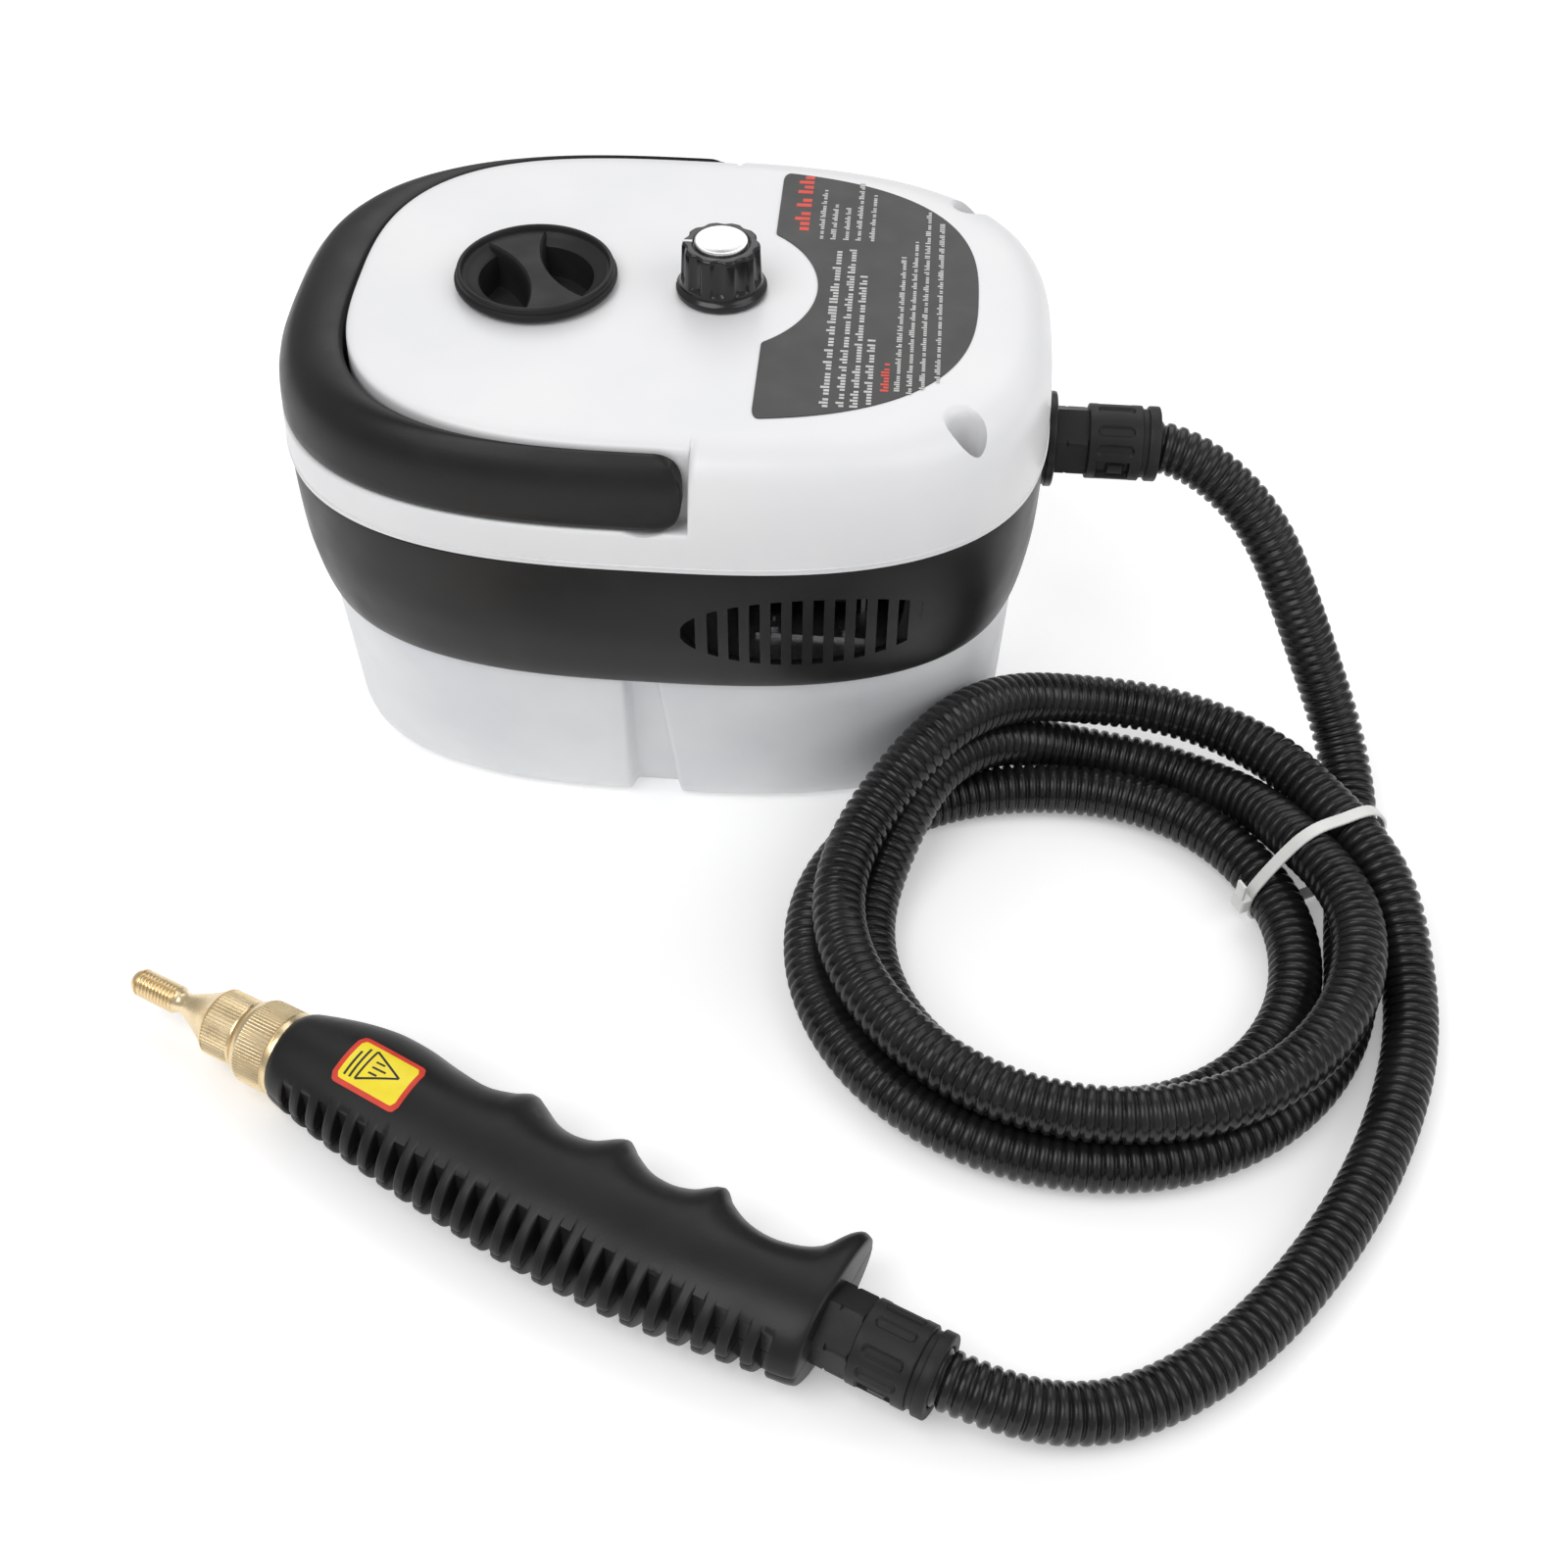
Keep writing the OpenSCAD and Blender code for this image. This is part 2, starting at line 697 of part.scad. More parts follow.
module heater_bracket() color("silver") {
    x0 = heater_at[0];
    difference() {
        union() {
            translate([x0 + 6, heater_at[1] - 12, deck_top]) cube([heater[0] - 12, heater[1] + 24, 1.5]);
            translate([x0 + 6, heater_at[1], deck_top]) cube([heater[0] - 12, 1.5, heater_at[2] - deck_top]);
            translate([x0 + 6, heater_at[1] + heater[1] - 1.5, deck_top])
                cube([heater[0] - 12, 1.5, heater_at[2] - deck_top]);
            translate([x0 + 6, heater_at[1], heater_at[2] - 1.5]) cube([heater[0] - 12, heater[1], 1.5]);
        }
        for (p = heater_foot_places) translate(p - [0, 0, 5]) cylinder(r = screw_r + 0.2, h = 10);
    }
}

heater_foot_places = [for (x = [44, 96]) for (y = [-11, 51]) [x, y, deck_top + 1.5]];
pump_foot_places = [for (x = [42, 68]) for (y = [-24, 24]) [x, pump_at[1] + y, deck_top + 1.5]];

module heater_terminals() color("silver") {
    for (y = [8, 32]) translate([heater_at[0] - 14, y, 110]) rotate([0, 90, 0]) {
        cylinder(r = 1.6, h = 14);
        translate([0, 0, 6]) cylinder(r = 3.6, h = 8);
    }
}

module thermostat() color([0.85, 0.83, 0.75]) {
    translate([58, 22, heater_at[2] + heater[2]]) {
        cylinder(r = 8.5, h = 1.5);
        translate([0, 0, 1.4]) cylinder(r = 7, h = 8);
        for (s = [-1, 1]) translate([s * 4 - 0.4, -2.5, 9]) cube([0.8, 5, 7]);
    }
}

module thermal_fuse() color([0.8, 0.7, 0.5]) {
    translate([94, 8, heater_at[2] + heater[2] + 3]) rotate([-90, 0, 0]) {
        cylinder(r = 2.4, h = 22);
        translate([0, 0, -6]) cylinder(r = 0.6, h = 34);
    }
    translate([91, 14, heater_at[2] + heater[2]]) cube([6, 3, 2]);
}

module water_pump() color([0.3, 0.3, 0.33]) {
    translate(pump_at) rotate([0, 90, 0]) {
        cylinder(r = pump_r, h = pump_l);
        translate([0, 0, -5]) cylinder(r = 6.5, h = pump_l + 9);
        translate([0, 0, -7.8]) cylinder(r = tube_r - 1.1, h = 5);
        translate([0, 0, pump_l + 3]) cylinder(r = tube_r - 1.1, h = 6);
    }
    translate(pump_at + [8, -14, -14]) cube([30, 28, 28]);
    translate(pump_at + [12, -8, pump_r - 2]) cube([18, 16, 8]);
}

module pump_bracket() color("silver") {
    difference() {
        union() {
            translate([36, pump_at[1] - 28, deck_top]) cube([38, 56, 1.5]);
            for (x = [36, 72])
                translate([x, pump_at[1] - 12, deck_top]) cube([1.5, 24, pump_at[2] - deck_top]);
        }
        translate([30, pump_at[1], pump_at[2]]) rotate([0, 90, 0])
            cylinder(r = pump_r + 0.1, h = 60);
        for (p = pump_foot_places) translate(p - [0, 0, 5]) cylinder(r = screw_r + 0.2, h = 10);
        translate(pump_at + [7.9, -14.1, -14.1]) cube([30.2, 28.2, 28.2]);
    }
}

module bracket_screws() color("silver") {
    for (p = concat(heater_foot_places, pump_foot_places)) translate(p) screw(1.5);
}

module suction_tube() color([0.85, 0.85, 0.8]) {
    x = 16;
    bend = pump_at[0] - 8 - x;
    difference() {
        union() {
            translate([x, pump_at[1], 12]) cylinder(r = tube_r, h = pump_at[2] - bend - 12);
            translate([x + bend, pump_at[1], pump_at[2] - bend]) rotate([90, 0, 180]) elbow(bend, tube_r);
            translate([x + bend, pump_at[1], pump_at[2]]) rotate([0, 90, 0]) cylinder(r = tube_r, h = 3);
        }
        translate([x + bend - 0.1, pump_at[1], pump_at[2]]) rotate([0, 90, 0])
            cylinder(r = tube_r - 1, h = 4);
    }
}

module suction_filter() color([0.2, 0.2, 0.22]) {
    translate([16, pump_at[1], tank_floor + 1.5]) difference() {
        cylinder(r = 8, h = 12);
        translate([0, 0, 7.5]) cylinder(r = tube_r + 0.05, h = 10);
        for (i = [0 : 7]) rotate([0, 0, 45 * i]) translate([6.8, -1, 1.5]) cube([3, 2, 5]);
    }
}

module pump_outlet_tube() color([0.85, 0.85, 0.8]) {
    x0 = pump_at[0] + pump_l + 4.5;
    bend = 100 - x0 - 5;
    translate([x0 + 1, pump_at[1], pump_at[2]]) rotate([0, 90, 0]) difference() {
        cylinder(r = tube_r, h = 4);
        translate([0, 0, -1]) cylinder(r = tube_r - 1, h = 5.2);
    }
    translate([x0 + 5, pump_at[1] + bend, pump_at[2]]) rotate([0, 0, -90]) elbow(bend, tube_r);
    translate([x0 + 5 + bend, pump_at[1] + bend, pump_at[2]]) rotate([-90, 0, 0])
        cylinder(r = tube_r, h = heater_at[1] - 3 - pump_at[1] - bend);
}

module steam_tube() color([0.9, 0.9, 0.85]) {
    translate([heater_at[0] + heater[0] - 8, 0, outlet_z]) rotate([0, 90, 0])
        cylinder(r = tube_r, h = outlet_plate_x + gland_seat - 1 - heater_at[0] - heater[0] + 8);
}

module terminal_block() color([0.9, 0.9, 0.88]) {
    translate([24, 64, deck_top]) difference() {
        cube([32, 14, 12]);
        for (i = [0 : 2]) translate([6 + 10 * i, 7, 5]) cylinder(r = 2.6, h = 10);
    }
}

module wire_harness() {
    shades = ["saddlebrown", "royalblue", "yellowgreen"];
    for (i = [0 : 2]) color(shades[i])
        sweep([
            [30 + 10 * i, 71, deck_top + 5.3],
            [30 + 10 * i, 71, 104],
            [28 + 8 * i, 70, 118],
            [26 + 6 * i, 62, 132],
            [24 + 5 * i, 50, 142],
            [26 + 5 * i, 38, 149],
            [30 + 6 * i, 30, 155],
            board_at + [12 * i - 22, 23, board[2] + 1.6]], 1.3, 8, [1, 0.1, 0.1]);
}

module power_cord_bush() color([0.08, 0.08, 0.08]) {
    translate(cord_at) rotate([-90, 0, 0]) difference() {
        union() {
            translate([0, 0, -9]) cylinder(r = 8, h = 12);
            translate([0, 0, 1.6]) cylinder(r = 11, h = 2.4);
            translate([0, 0, 3.9]) cylinder(r1 = 8, r2 = 6.2, h = 12);
            translate([0, 0, -9]) cylinder(r = 10, h = 2.4);
        }
        translate([0, 0, -10]) cylinder(r = cord_r, h = 30);
    }
}

// ---- hose glands ----

// The fixed half of a gland: flange, hexagon and threaded spigot, along +X from its seat
module gland_body() rotate([0, 90, 0]) difference() {
    union() {
        translate([0, 0, -18]) cylinder(r = gland_thread_r, h = 18.5);
        cylinder(r = gland_flange_r, h = gland_flange_l);
        translate([0, 0, gland_flange_l - 0.1]) cylinder(r = gland_hex_r, h = gland_hex_l + 0.1, $fn = 6);
    }
    translate([0, 0, -19]) cylinder(r = 7, h = 60);
}

// The clamping sleeve with its rounded ribs, window, groove and end ring
module gland_sleeve() {
    start = gland_flange_l + gland_hex_l;
    groove = start + gland_sleeve_l;
    rotate([0, 90, 0]) difference() {
        union() {
            translate([0, 0, start]) cylinder(r = gland_sleeve_r, h = gland_sleeve_l);
            translate([0, 0, groove - 0.1]) cylinder(r = gland_sleeve_r - 1.2, h = gland_groove_l + 0.2);
            translate([0, 0, groove + gland_groove_l]) cylinder(r = gland_sleeve_r, h = gland_ring_l);
        }
        for (i = [0 : 5]) rotate([0, 0, 60 * i + 20])
            translate([gland_sleeve_r + 0.6, 0, start + 4]) cylinder(r = 1.7, h = 11);
        rotate([0, 0, -107]) translate([gland_sleeve_r - 2, -4.5, start + 3.5]) cube([4, 9, 11]);
        translate([0, 0, start - 1]) cylinder(r = 7, h = 60);
        translate([0, 0, gland_seat]) cylinder(r = hose_r + 0.35, h = 60);
    }
}

module gland_locknut() rotate([0, 90, 0]) difference() {
    cylinder(r = locknut_r, h = 4, $fn = 6);
    translate([0, 0, -1]) cylinder(r = gland_thread_r + 0.05, h = 6);
}

module at_outlet() translate([outlet_plate_x, 0, outlet_z]) children();

function gun_point(along) = [gun_x + along * cos(gun_angle), gun_y + along * sin(gun_angle), gun_z];

// Places things drawn along +X from the front face of the gun's handle
module at_gun(along = 0) translate(gun_point(along)) rotate([0, 0, gun_angle]) children();

// ---- hose ----

module hose_coil() color([0.05, 0.05, 0.05]) {
    translate([coil_x, coil_y, 0]) rotate_extrude()
        polygon([
            [coil_bore_r, 5], [coil_bore_r + 5, coil_low_z], [coil_r - 5, coil_low_z], [coil_r, 5],
            [coil_r, coil_taper_z], [coil_r - coil_taper, coil_h - 5],
            [coil_r - coil_taper - 5, coil_h], [coil_bore_r + 6, coil_h], [coil_bore_r, coil_h - 8]]);
}

// The tie's inner outline round the bundle, seen along the hose
tie_outline = [[4.5, 9], [8, tie_t], [50, tie_t], [54.5, 4], [57, 20], [56.5, 29],
    [50, 36], [27, 36.5], [19, 32], [6.5, 16.5]];

module cable_tie() color([0.9, 0.9, 0.9]) {
    translate([tie_at[0], tie_at[1], 0]) rotate([0, 0, tie_angle]) rotate([90, 0, 0])
        translate([0, 0, -tie_w / 2]) linear_extrude(tie_w) difference() {
            offset(delta = tie_t) polygon(tie_outline);
            polygon(tie_outline);
        }
    translate([tie_at[0], tie_at[1], 0]) rotate([0, 0, tie_angle])
        translate([-1.2, -3.4, 8]) cube([5, 6.8, 6]);
}

// ---- steam gun ----

// A section of the handle: each side is half an ellipse of its own width
function grip_ring(s) = [
    for (j = [0 : grip_k - 1])
        let (c = cos(360 * j / grip_k), w = c < 0 ? s[2] : s[1])
        [s[0], w * c, s[3] * sin(360 * j / grip_k)]];

module grip_solid(stations) {
    points = [for (s = stations) each grip_ring(s)];
    polyhedron(points = points, faces = skin_faces(len(stations), grip_k), convexity = 8);
}

gun_screw_places = [[24, 7.5], [70, 8], [124, 7.5], [174, 7]];

// The whole hollow handle, with screw posts of radius post_r standing in it
module grip_shell(post_r) difference() {
    grip_solid(grip_stations);
    difference() {
        grip_solid(cavity_stations);
        for (p = gun_screw_places) translate([p[0], p[1], -20]) cylinder(r = post_r, h = 40);
    }
    for (i = [0 : slot_count - 1])
        translate([slot_first + i * slot_pitch, -60, -30])
            cube([slot_w, 60 - min(17.5, 14.3 + 0.4 * i), 60]);
    translate([-20, 0, 0]) rotate([0, 90, 0]) cylinder(r = tube_r + 0.3, h = 240);
    translate([-1, 0, 0]) rotate([0, 90, 0]) cylinder(r = 9.3, h = 12);
    translate([grip_l - 10, 0, 0]) rotate([0, 90, 0]) cylinder(r = gland_thread_r + 0.1, h = 12);
}

module gun_shell_upper() color([0.07, 0.07, 0.07]) at_gun() {
    difference() {
        grip_shell(3.4);
        translate([-5, -50, -30]) cube([220, 100, 30.05]);
        for (p = gun_screw_places) translate([p[0], p[1], -1]) cylinder(r = screw_r + 0.05, h = 11);
    }
}

module gun_shell_lower() color([0.07, 0.07, 0.07]) at_gun() {
    difference() {
        grip_shell(4.6);
        translate([-5, -50, -0.05]) cube([220, 100, 30]);
        for (p = gun_screw_places) {
            translate([p[0], p[1], -20]) cylinder(r = screw_r + 0.2, h = 30);
            translate([p[0], p[1], -20]) cylinder(r = screw_head_r + 0.3, h = 14);
        }
    }
}

module gun_screws() color("silver") at_gun() {
    for (p = gun_screw_places) translate([p[0], p[1], -6]) rotate([180, 0, 0]) screw(14);
}

module gun_steam_tube() color([0.8, 0.65, 0.3]) at_gun() {
    translate([8, 0, 0]) rotate([0, 90, 0]) cylinder(r = tube_r, h = grip_l + gland_seat - 10);
}

module nozzle_collar() color([0.85, 0.65, 0.3]) at_gun() rotate([0, 90, 0]) difference() {
    union() {
        translate([0, 0, -collar_l]) cylinder(r1 = collar_r - 2, r2 = collar_r, h = 2.2);
        translate([0, 0, 2.1 - collar_l]) cylinder(r = collar_r, h = collar_l - 2.2);
        translate([0, 0, -1]) cylinder(r = 9, h = 12);
    }
    translate([0, 0, -collar_l - 1]) cylinder(r = 8, h = 13);
    translate([0, 0, -collar_l - 1]) cylinder(r = tube_r + 0.1, h = 40);
}

module nozzle_seal() color([0.9, 0.9, 0.9]) at_gun(-collar_l) rotate([0, 90, 0]) difference() {
    translate([0, 0, 6]) cylinder(r = 7.4, h = 1.5);
    translate([0, 0, 5]) cylinder(r = tube_r, h = 4);
}

module nozzle() color([0.85, 0.65, 0.3]) at_gun(-collar_l - nozzle_gap) rotate([0, -90, 0]) difference() {
    union() {
        translate([0, 0, -6.5]) cylinder(r = 7.5, h = 7);
        cylinder(r = barrel_r, h = barrel_l);
        translate([0, 0, barrel_l - 0.01]) cylinder(r1 = barrel_r, r2 = neck_r, h = cone_l);
        translate([0, 0, barrel_l + cone_l - 0.1]) cylinder(r = neck_r, h = neck_l + 1);
        translate([0, 0, barrel_l + cone_l + neck_l]) cylinder(r = thread_r, h = thread_l);
        translate([0, 0, barrel_l + cone_l + neck_l + thread_l]) cylinder(r1 = thread_r, r2 = 3, h = 2.6);
    }
    translate([0, 0, -7]) cylinder(r = 2.4, h = 22);
    translate([0, 0, -7]) cylinder(r = 1.2, h = 80);
}

module gun_sticker() color("gold") at_gun(23.5) {
    translate([0, -9.6, 0]) intersection() {
        translate([0, 0, 10]) cube([26.5, 19.4, 20]);
        translate([-23.5, 9.6, 0]) difference() {
            grip_solid([for (s = sticker_stations) s + [0, sticker_t, sticker_t, sticker_t]]);
            grip_solid([for (s = sticker_stations) s + [0, 0.01, 0.01, 0.01]]);
        }
    }
}

top_cover();
mid_band();
water_tank();
tank_gasket();
deck_plate();
deck_screws();
cover_screws();
filler_neck();
cap_seal();
filler_cap();
carry_handle();
handle_pin(-1);  // handle_pin_front
handle_pin(1);  // handle_pin_rear
knob();
knob_disc();
control_shaft();
control_pot();
pot_nut();
label_panel();
control_board();
board_spacers();
board_screws();
heating_block();
heater_bracket();
heater_terminals();
thermostat();
thermal_fuse();
water_pump();
pump_bracket();
bracket_screws();
suction_tube();
suction_filter();
pump_outlet_tube();
steam_tube();
terminal_block();
wire_harness();
power_cord_bush();
at_outlet() color([0.1, 0.1, 0.11]) gland_body();  // body_gland
at_outlet() color([0.14, 0.14, 0.15]) gland_sleeve();  // body_gland_sleeve
at_outlet() translate([-13.8, 0, 0]) color([0.1, 0.1, 0.11]) gland_locknut();  // body_gland_locknut
color([0.05, 0.05, 0.05]) sweep(lead_route, hose_r, 12, [1, 1, 0.4]);  // hose_lead
hose_coil();
color([0.05, 0.05, 0.05]) sweep(tail_route, hose_r, 12);  // hose_tail
cable_tie();
gun_shell_upper();
gun_shell_lower();
gun_screws();
gun_steam_tube();
nozzle_collar();
nozzle_seal();
nozzle();
gun_sticker();
at_gun(grip_l) color([0.1, 0.1, 0.11]) gland_body();  // gun_gland
at_gun(grip_l) color([0.14, 0.14, 0.15]) gland_sleeve();  // gun_gland_sleeve
at_gun(grip_l - 14) color([0.1, 0.1, 0.11]) gland_locknut();  // gun_gland_locknut
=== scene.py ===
"""Looks of the hand-held steam cleaner: main unit, coiled steam hose and steam gun.

Lengths are in millimetres in the CAD frame and are scaled to metres when a mesh is made.
"""

import math
import random
from contextlib import contextmanager

import bmesh
import bpy
import numpy as np
from mathutils import Matrix, Vector


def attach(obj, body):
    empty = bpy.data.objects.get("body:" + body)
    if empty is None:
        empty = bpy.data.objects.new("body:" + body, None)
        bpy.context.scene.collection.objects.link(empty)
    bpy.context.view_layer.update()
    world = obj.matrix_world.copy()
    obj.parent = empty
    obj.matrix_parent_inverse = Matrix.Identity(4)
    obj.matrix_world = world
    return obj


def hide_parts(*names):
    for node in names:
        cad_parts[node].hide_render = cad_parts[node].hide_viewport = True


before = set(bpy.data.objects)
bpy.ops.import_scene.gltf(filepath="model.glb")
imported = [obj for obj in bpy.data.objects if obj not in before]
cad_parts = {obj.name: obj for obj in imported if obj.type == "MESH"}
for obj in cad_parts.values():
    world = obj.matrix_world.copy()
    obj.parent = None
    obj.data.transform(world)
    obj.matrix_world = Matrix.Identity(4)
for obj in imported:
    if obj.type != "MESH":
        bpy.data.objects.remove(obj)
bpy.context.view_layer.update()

MM = 0.001
OUTLINE_N = 2.8
MAIN = "main_unit"


# ---- numbers shared with the CAD model ----

COVER_PROFILE = [
    (130, 134, 99.5), (138, 133.9, 99.35), (146, 133.6, 99), (152, 133.1, 98.5),
    (158, 132.5, 97.8), (164, 131, 96.1), (168.5, 128, 93), (171.2, 123.6, 88.8),
    (172.6, 118, 84.2), (173, 111, 81.4), (173, 100, 80)]
BAND_PROFILE = [
    (74, 127.3, 92.3), (74.4, 128, 93), (75.3, 128.6, 93.7), (80, 130, 95.1), (88, 131.5, 96.6),
    (100, 132.9, 98.3), (116, 133.4, 98.9), (128.6, 133.4, 98.9), (129.4, 133.2, 98.7),
    (129.7, 132.6, 98.1)]
TOP_Z = 173
LEDGE_Z = 145.4
PIVOT = (1.5, 158.5)
FILLER_X = -46
KNOB_X = 18
OUTLET = (137.4, 0, 118)
WELL = (103.3, 66.8)
GUN_ORIGIN = (-104, -219, 16.5)
GUN_ANGLE = -24.4
GRIP_L = 198
COIL_CENTRE = (158, -144)


# ---- camera ----

def add_camera():
    location = Vector((0.07933, -0.59993, 0.56212))
    target = Vector((0.04966, -0.1241, 0.060))
    roll = math.radians(0.85)
    forward = (target - location).normalized()
    right = forward.cross(Vector((0, 0, 1))).normalized()
    up = right.cross(forward)
    tilted_right = right * math.cos(roll) + up * math.sin(roll)
    tilted_up = up * math.cos(roll) - right * math.sin(roll)
    data = bpy.data.cameras.new("camera")
    data.lens = 46.65
    data.sensor_width = 36
    camera = bpy.data.objects.new("camera", data)
    basis = Matrix((tilted_right, tilted_up, -forward)).transposed()
    camera.matrix_world = Matrix.Translation(location) @ basis.to_4x4()
    bpy.context.scene.collection.objects.link(camera)
    bpy.context.scene.camera = camera


add_camera()
bpy.context.scene.view_settings.view_transform = "Standard"


# ---- mesh helpers ----

def fresh_object(name, mesh):
    obj = bpy.data.objects.new(name, mesh)
    bpy.context.scene.collection.objects.link(obj)
    return obj


def shade(mesh, sharp):
    for polygon in mesh.polygons:
        polygon.use_smooth = True
    mesh.set_sharp_from_angle(angle=math.radians(sharp))


def build(name, points, faces, sharp=35):
    """A smooth-shaded object from points in millimetres."""
    mesh = bpy.data.meshes.new(name)
    mesh.from_pydata([tuple(p) for p in np.asarray(points, dtype=float) * MM], [], faces)
    bm = bmesh.new()
    bm.from_mesh(mesh)
    bmesh.ops.remove_doubles(bm, verts=bm.verts, dist=2e-6)
    bmesh.ops.recalc_face_normals(bm, faces=bm.faces)
    face_outwards(bm)
    bm.to_mesh(mesh)
    bm.free()
    shade(mesh, sharp)
    return fresh_object(name, mesh)


def face_outwards(bm):
    """Turns an open skin's faces away from its middle."""
    middle = sum((f.calc_center_median() * f.calc_area() for f in bm.faces), Vector()) / sum(
        f.calc_area() for f in bm.faces)
    outward = sum((f.calc_center_median() - middle).dot(f.normal) * f.calc_area() for f in bm.faces)
    if outward < 0:
        bmesh.ops.reverse_faces(bm, faces=bm.faces)


def grid_faces(rows, columns, loop=False):
    """Quads between closed rows of points; loop joins the last row to the first."""
    faces = []
    for j in range(rows if loop else rows - 1):
        k = (j + 1) % rows
        for i in range(columns):
            n = (i + 1) % columns
            faces.append((j * columns + i, j * columns + n, k * columns + n, k * columns + i))
    return faces


def skin(name, rings, first_cap=True, last_cap=True, sharp=35):
    """A surface through rings of points, closed by flat caps."""
    rings = np.asarray(rings, dtype=float)
    rows, columns = rings.shape[:2]
    faces = grid_faces(rows, columns)
    if first_cap:
        faces.append(tuple(range(columns)))
    if last_cap:
        faces.append(tuple((rows - 1) * columns + i for i in range(columns)))
    return build(name, rings.reshape(-1, 3), faces, sharp)


def dense(points, steps=12, closed=False):
    """A Catmull-Rom curve through the points."""
    p = np.asarray(points, dtype=float)
    count = len(p)
    out = []
    for i in range(count if closed else count - 1):
        if closed:
            a, b, c, d = (p[(i + k) % count] for k in (-1, 0, 1, 2))
        else:
            a, b, c, d = p[max(i - 1, 0)], p[i], p[i + 1], p[min(i + 2, count - 1)]
        span = np.linalg.norm(c - b)
        before = max(np.linalg.norm(b - a), 1e-9)
        after = max(np.linalg.norm(d - c), 1e-9)
        start = (c - a) / (before + span) * span if i > 0 or closed else c - b
        end = (d - b) / (after + span) * span if i < count - 2 or closed else c - b
        for s in range(steps):
            t = s / steps
            out.append((2 * t**3 - 3 * t**2 + 1) * b + (t**3 - 2 * t**2 + t) * start
                       + (3 * t**2 - 2 * t**3) * c + (t**3 - t**2) * end)
    out.append(p[0] if closed else p[-1])
    return np.array(out)


def resample(points, count):
    """Points at equal distances along a polyline."""
    p = np.asarray(points, dtype=float)
    along = np.concatenate([[0], np.cumsum(np.linalg.norm(np.diff(p, axis=0), axis=1))])
    wanted = np.linspace(0, along[-1], count)
    return np.stack([np.interp(wanted, along, p[:, k]) for k in range(p.shape[1])], axis=1)


def length_of(points):
    return float(np.linalg.norm(np.diff(points, axis=0), axis=1).sum())


def apply_modifiers(obj):
    graph = bpy.context.evaluated_depsgraph_get()
    mesh = bpy.data.meshes.new_from_object(obj.evaluated_get(graph))
    obj.modifiers.clear()
    obj.data = mesh
    shade(mesh, 35)


@contextmanager
def edited(obj, sharp=35):
    """The object's mesh to edit; it is written back and shaded afterwards."""
    bm = bmesh.new()
    bm.from_mesh(obj.data)
    yield bm
    bm.to_mesh(obj.data)
    bm.free()
    shade(obj.data, sharp)


def close_loop(obj, sharp=28):
    """Joins the two open rims of a turned ring."""
    with edited(obj, sharp) as bm:
        bmesh.ops.bridge_loops(bm, edges=[e for e in bm.edges if e.is_boundary])
        bmesh.ops.recalc_face_normals(bm, faces=bm.faces)


def cut(obj, tool):
    modifier = obj.modifiers.new("cut", "BOOLEAN")
    modifier.operation = "DIFFERENCE"
    modifier.solver = "EXACT"
    modifier.object = tool
    apply_modifiers(obj)
    bpy.data.objects.remove(tool)


def thicken(obj, thickness, group=""):
    """Gives an open skin a wall on its inner side."""
    modifier = obj.modifiers.new("wall", "SOLIDIFY")
    modifier.thickness = thickness * MM
    modifier.vertex_group = group
    modifier.offset = -1
    apply_modifiers(obj)


def soften(obj, width, segments=3):
    modifier = obj.modifiers.new("edges", "BEVEL")
    modifier.width = width * MM
    modifier.segments = segments
    modifier.limit_method = "ANGLE"
    modifier.angle_limit = math.radians(30)
    apply_modifiers(obj)


def prism(name, outline, low, high):
    """An upright prism over a plan outline."""
    rings = [[(x, y, z) for x, y in outline] for z in (low, high)]
    return skin(name, rings)


def join(name, objects):
    """One object out of several."""
    bm = bmesh.new()
    for obj in objects:
        bm.from_mesh(obj.data)
        bpy.data.objects.remove(obj)
    mesh = bpy.data.meshes.new(name)
    bm.to_mesh(mesh)
    bm.free()
    shade(mesh, 35)
    return fresh_object(name, mesh)


def ring(radius, count, z=0.0, centre=(0, 0)):
    angles = np.arange(count) * 2 * math.pi / count
    return np.stack([centre[0] + radius * np.cos(angles), centre[1] + radius * np.sin(angles),
                     np.full(count, float(z))], axis=1)


def turned(name, rows, count=96, centre=(0, 0), radius_at=None, sharp=35, caps=(True, True)):
    """A body turned about an upright axis. rows are (height, radius); radius_at may reshape a row."""
    angles = np.arange(count) * 2 * math.pi / count
    rings = []
    for z, radius in rows:
        points = np.full((count, 3), float(z))
        r = radius_at(angles, z, radius) if radius_at else radius
        points[:, 0] = centre[0] + r * np.cos(angles)
        points[:, 1] = centre[1] + r * np.sin(angles)
        rings.append(points)
    return skin(name, rings, *caps, sharp=sharp)


def lay_along(obj, origin, angle):
    """Turns a body built along +Z to lie along +X, turns it in plan and moves it to its place."""
    turn = Matrix.Rotation(math.radians(90), 4, "Y")
    plan = Matrix.Rotation(math.radians(angle), 4, "Z")
    obj.data.transform(Matrix.Translation(Vector(origin) * MM) @ plan @ turn)


def gun_point(along, across=0.0, up=0.0):
    a = math.radians(GUN_ANGLE)
    return (GUN_ORIGIN[0] + along * math.cos(a) - across * math.sin(a),
            GUN_ORIGIN[1] + along * math.sin(a) + across * math.cos(a),
            GUN_ORIGIN[2] + up)


# ---- materials ----

def grey(value):
    return (value, value, value)


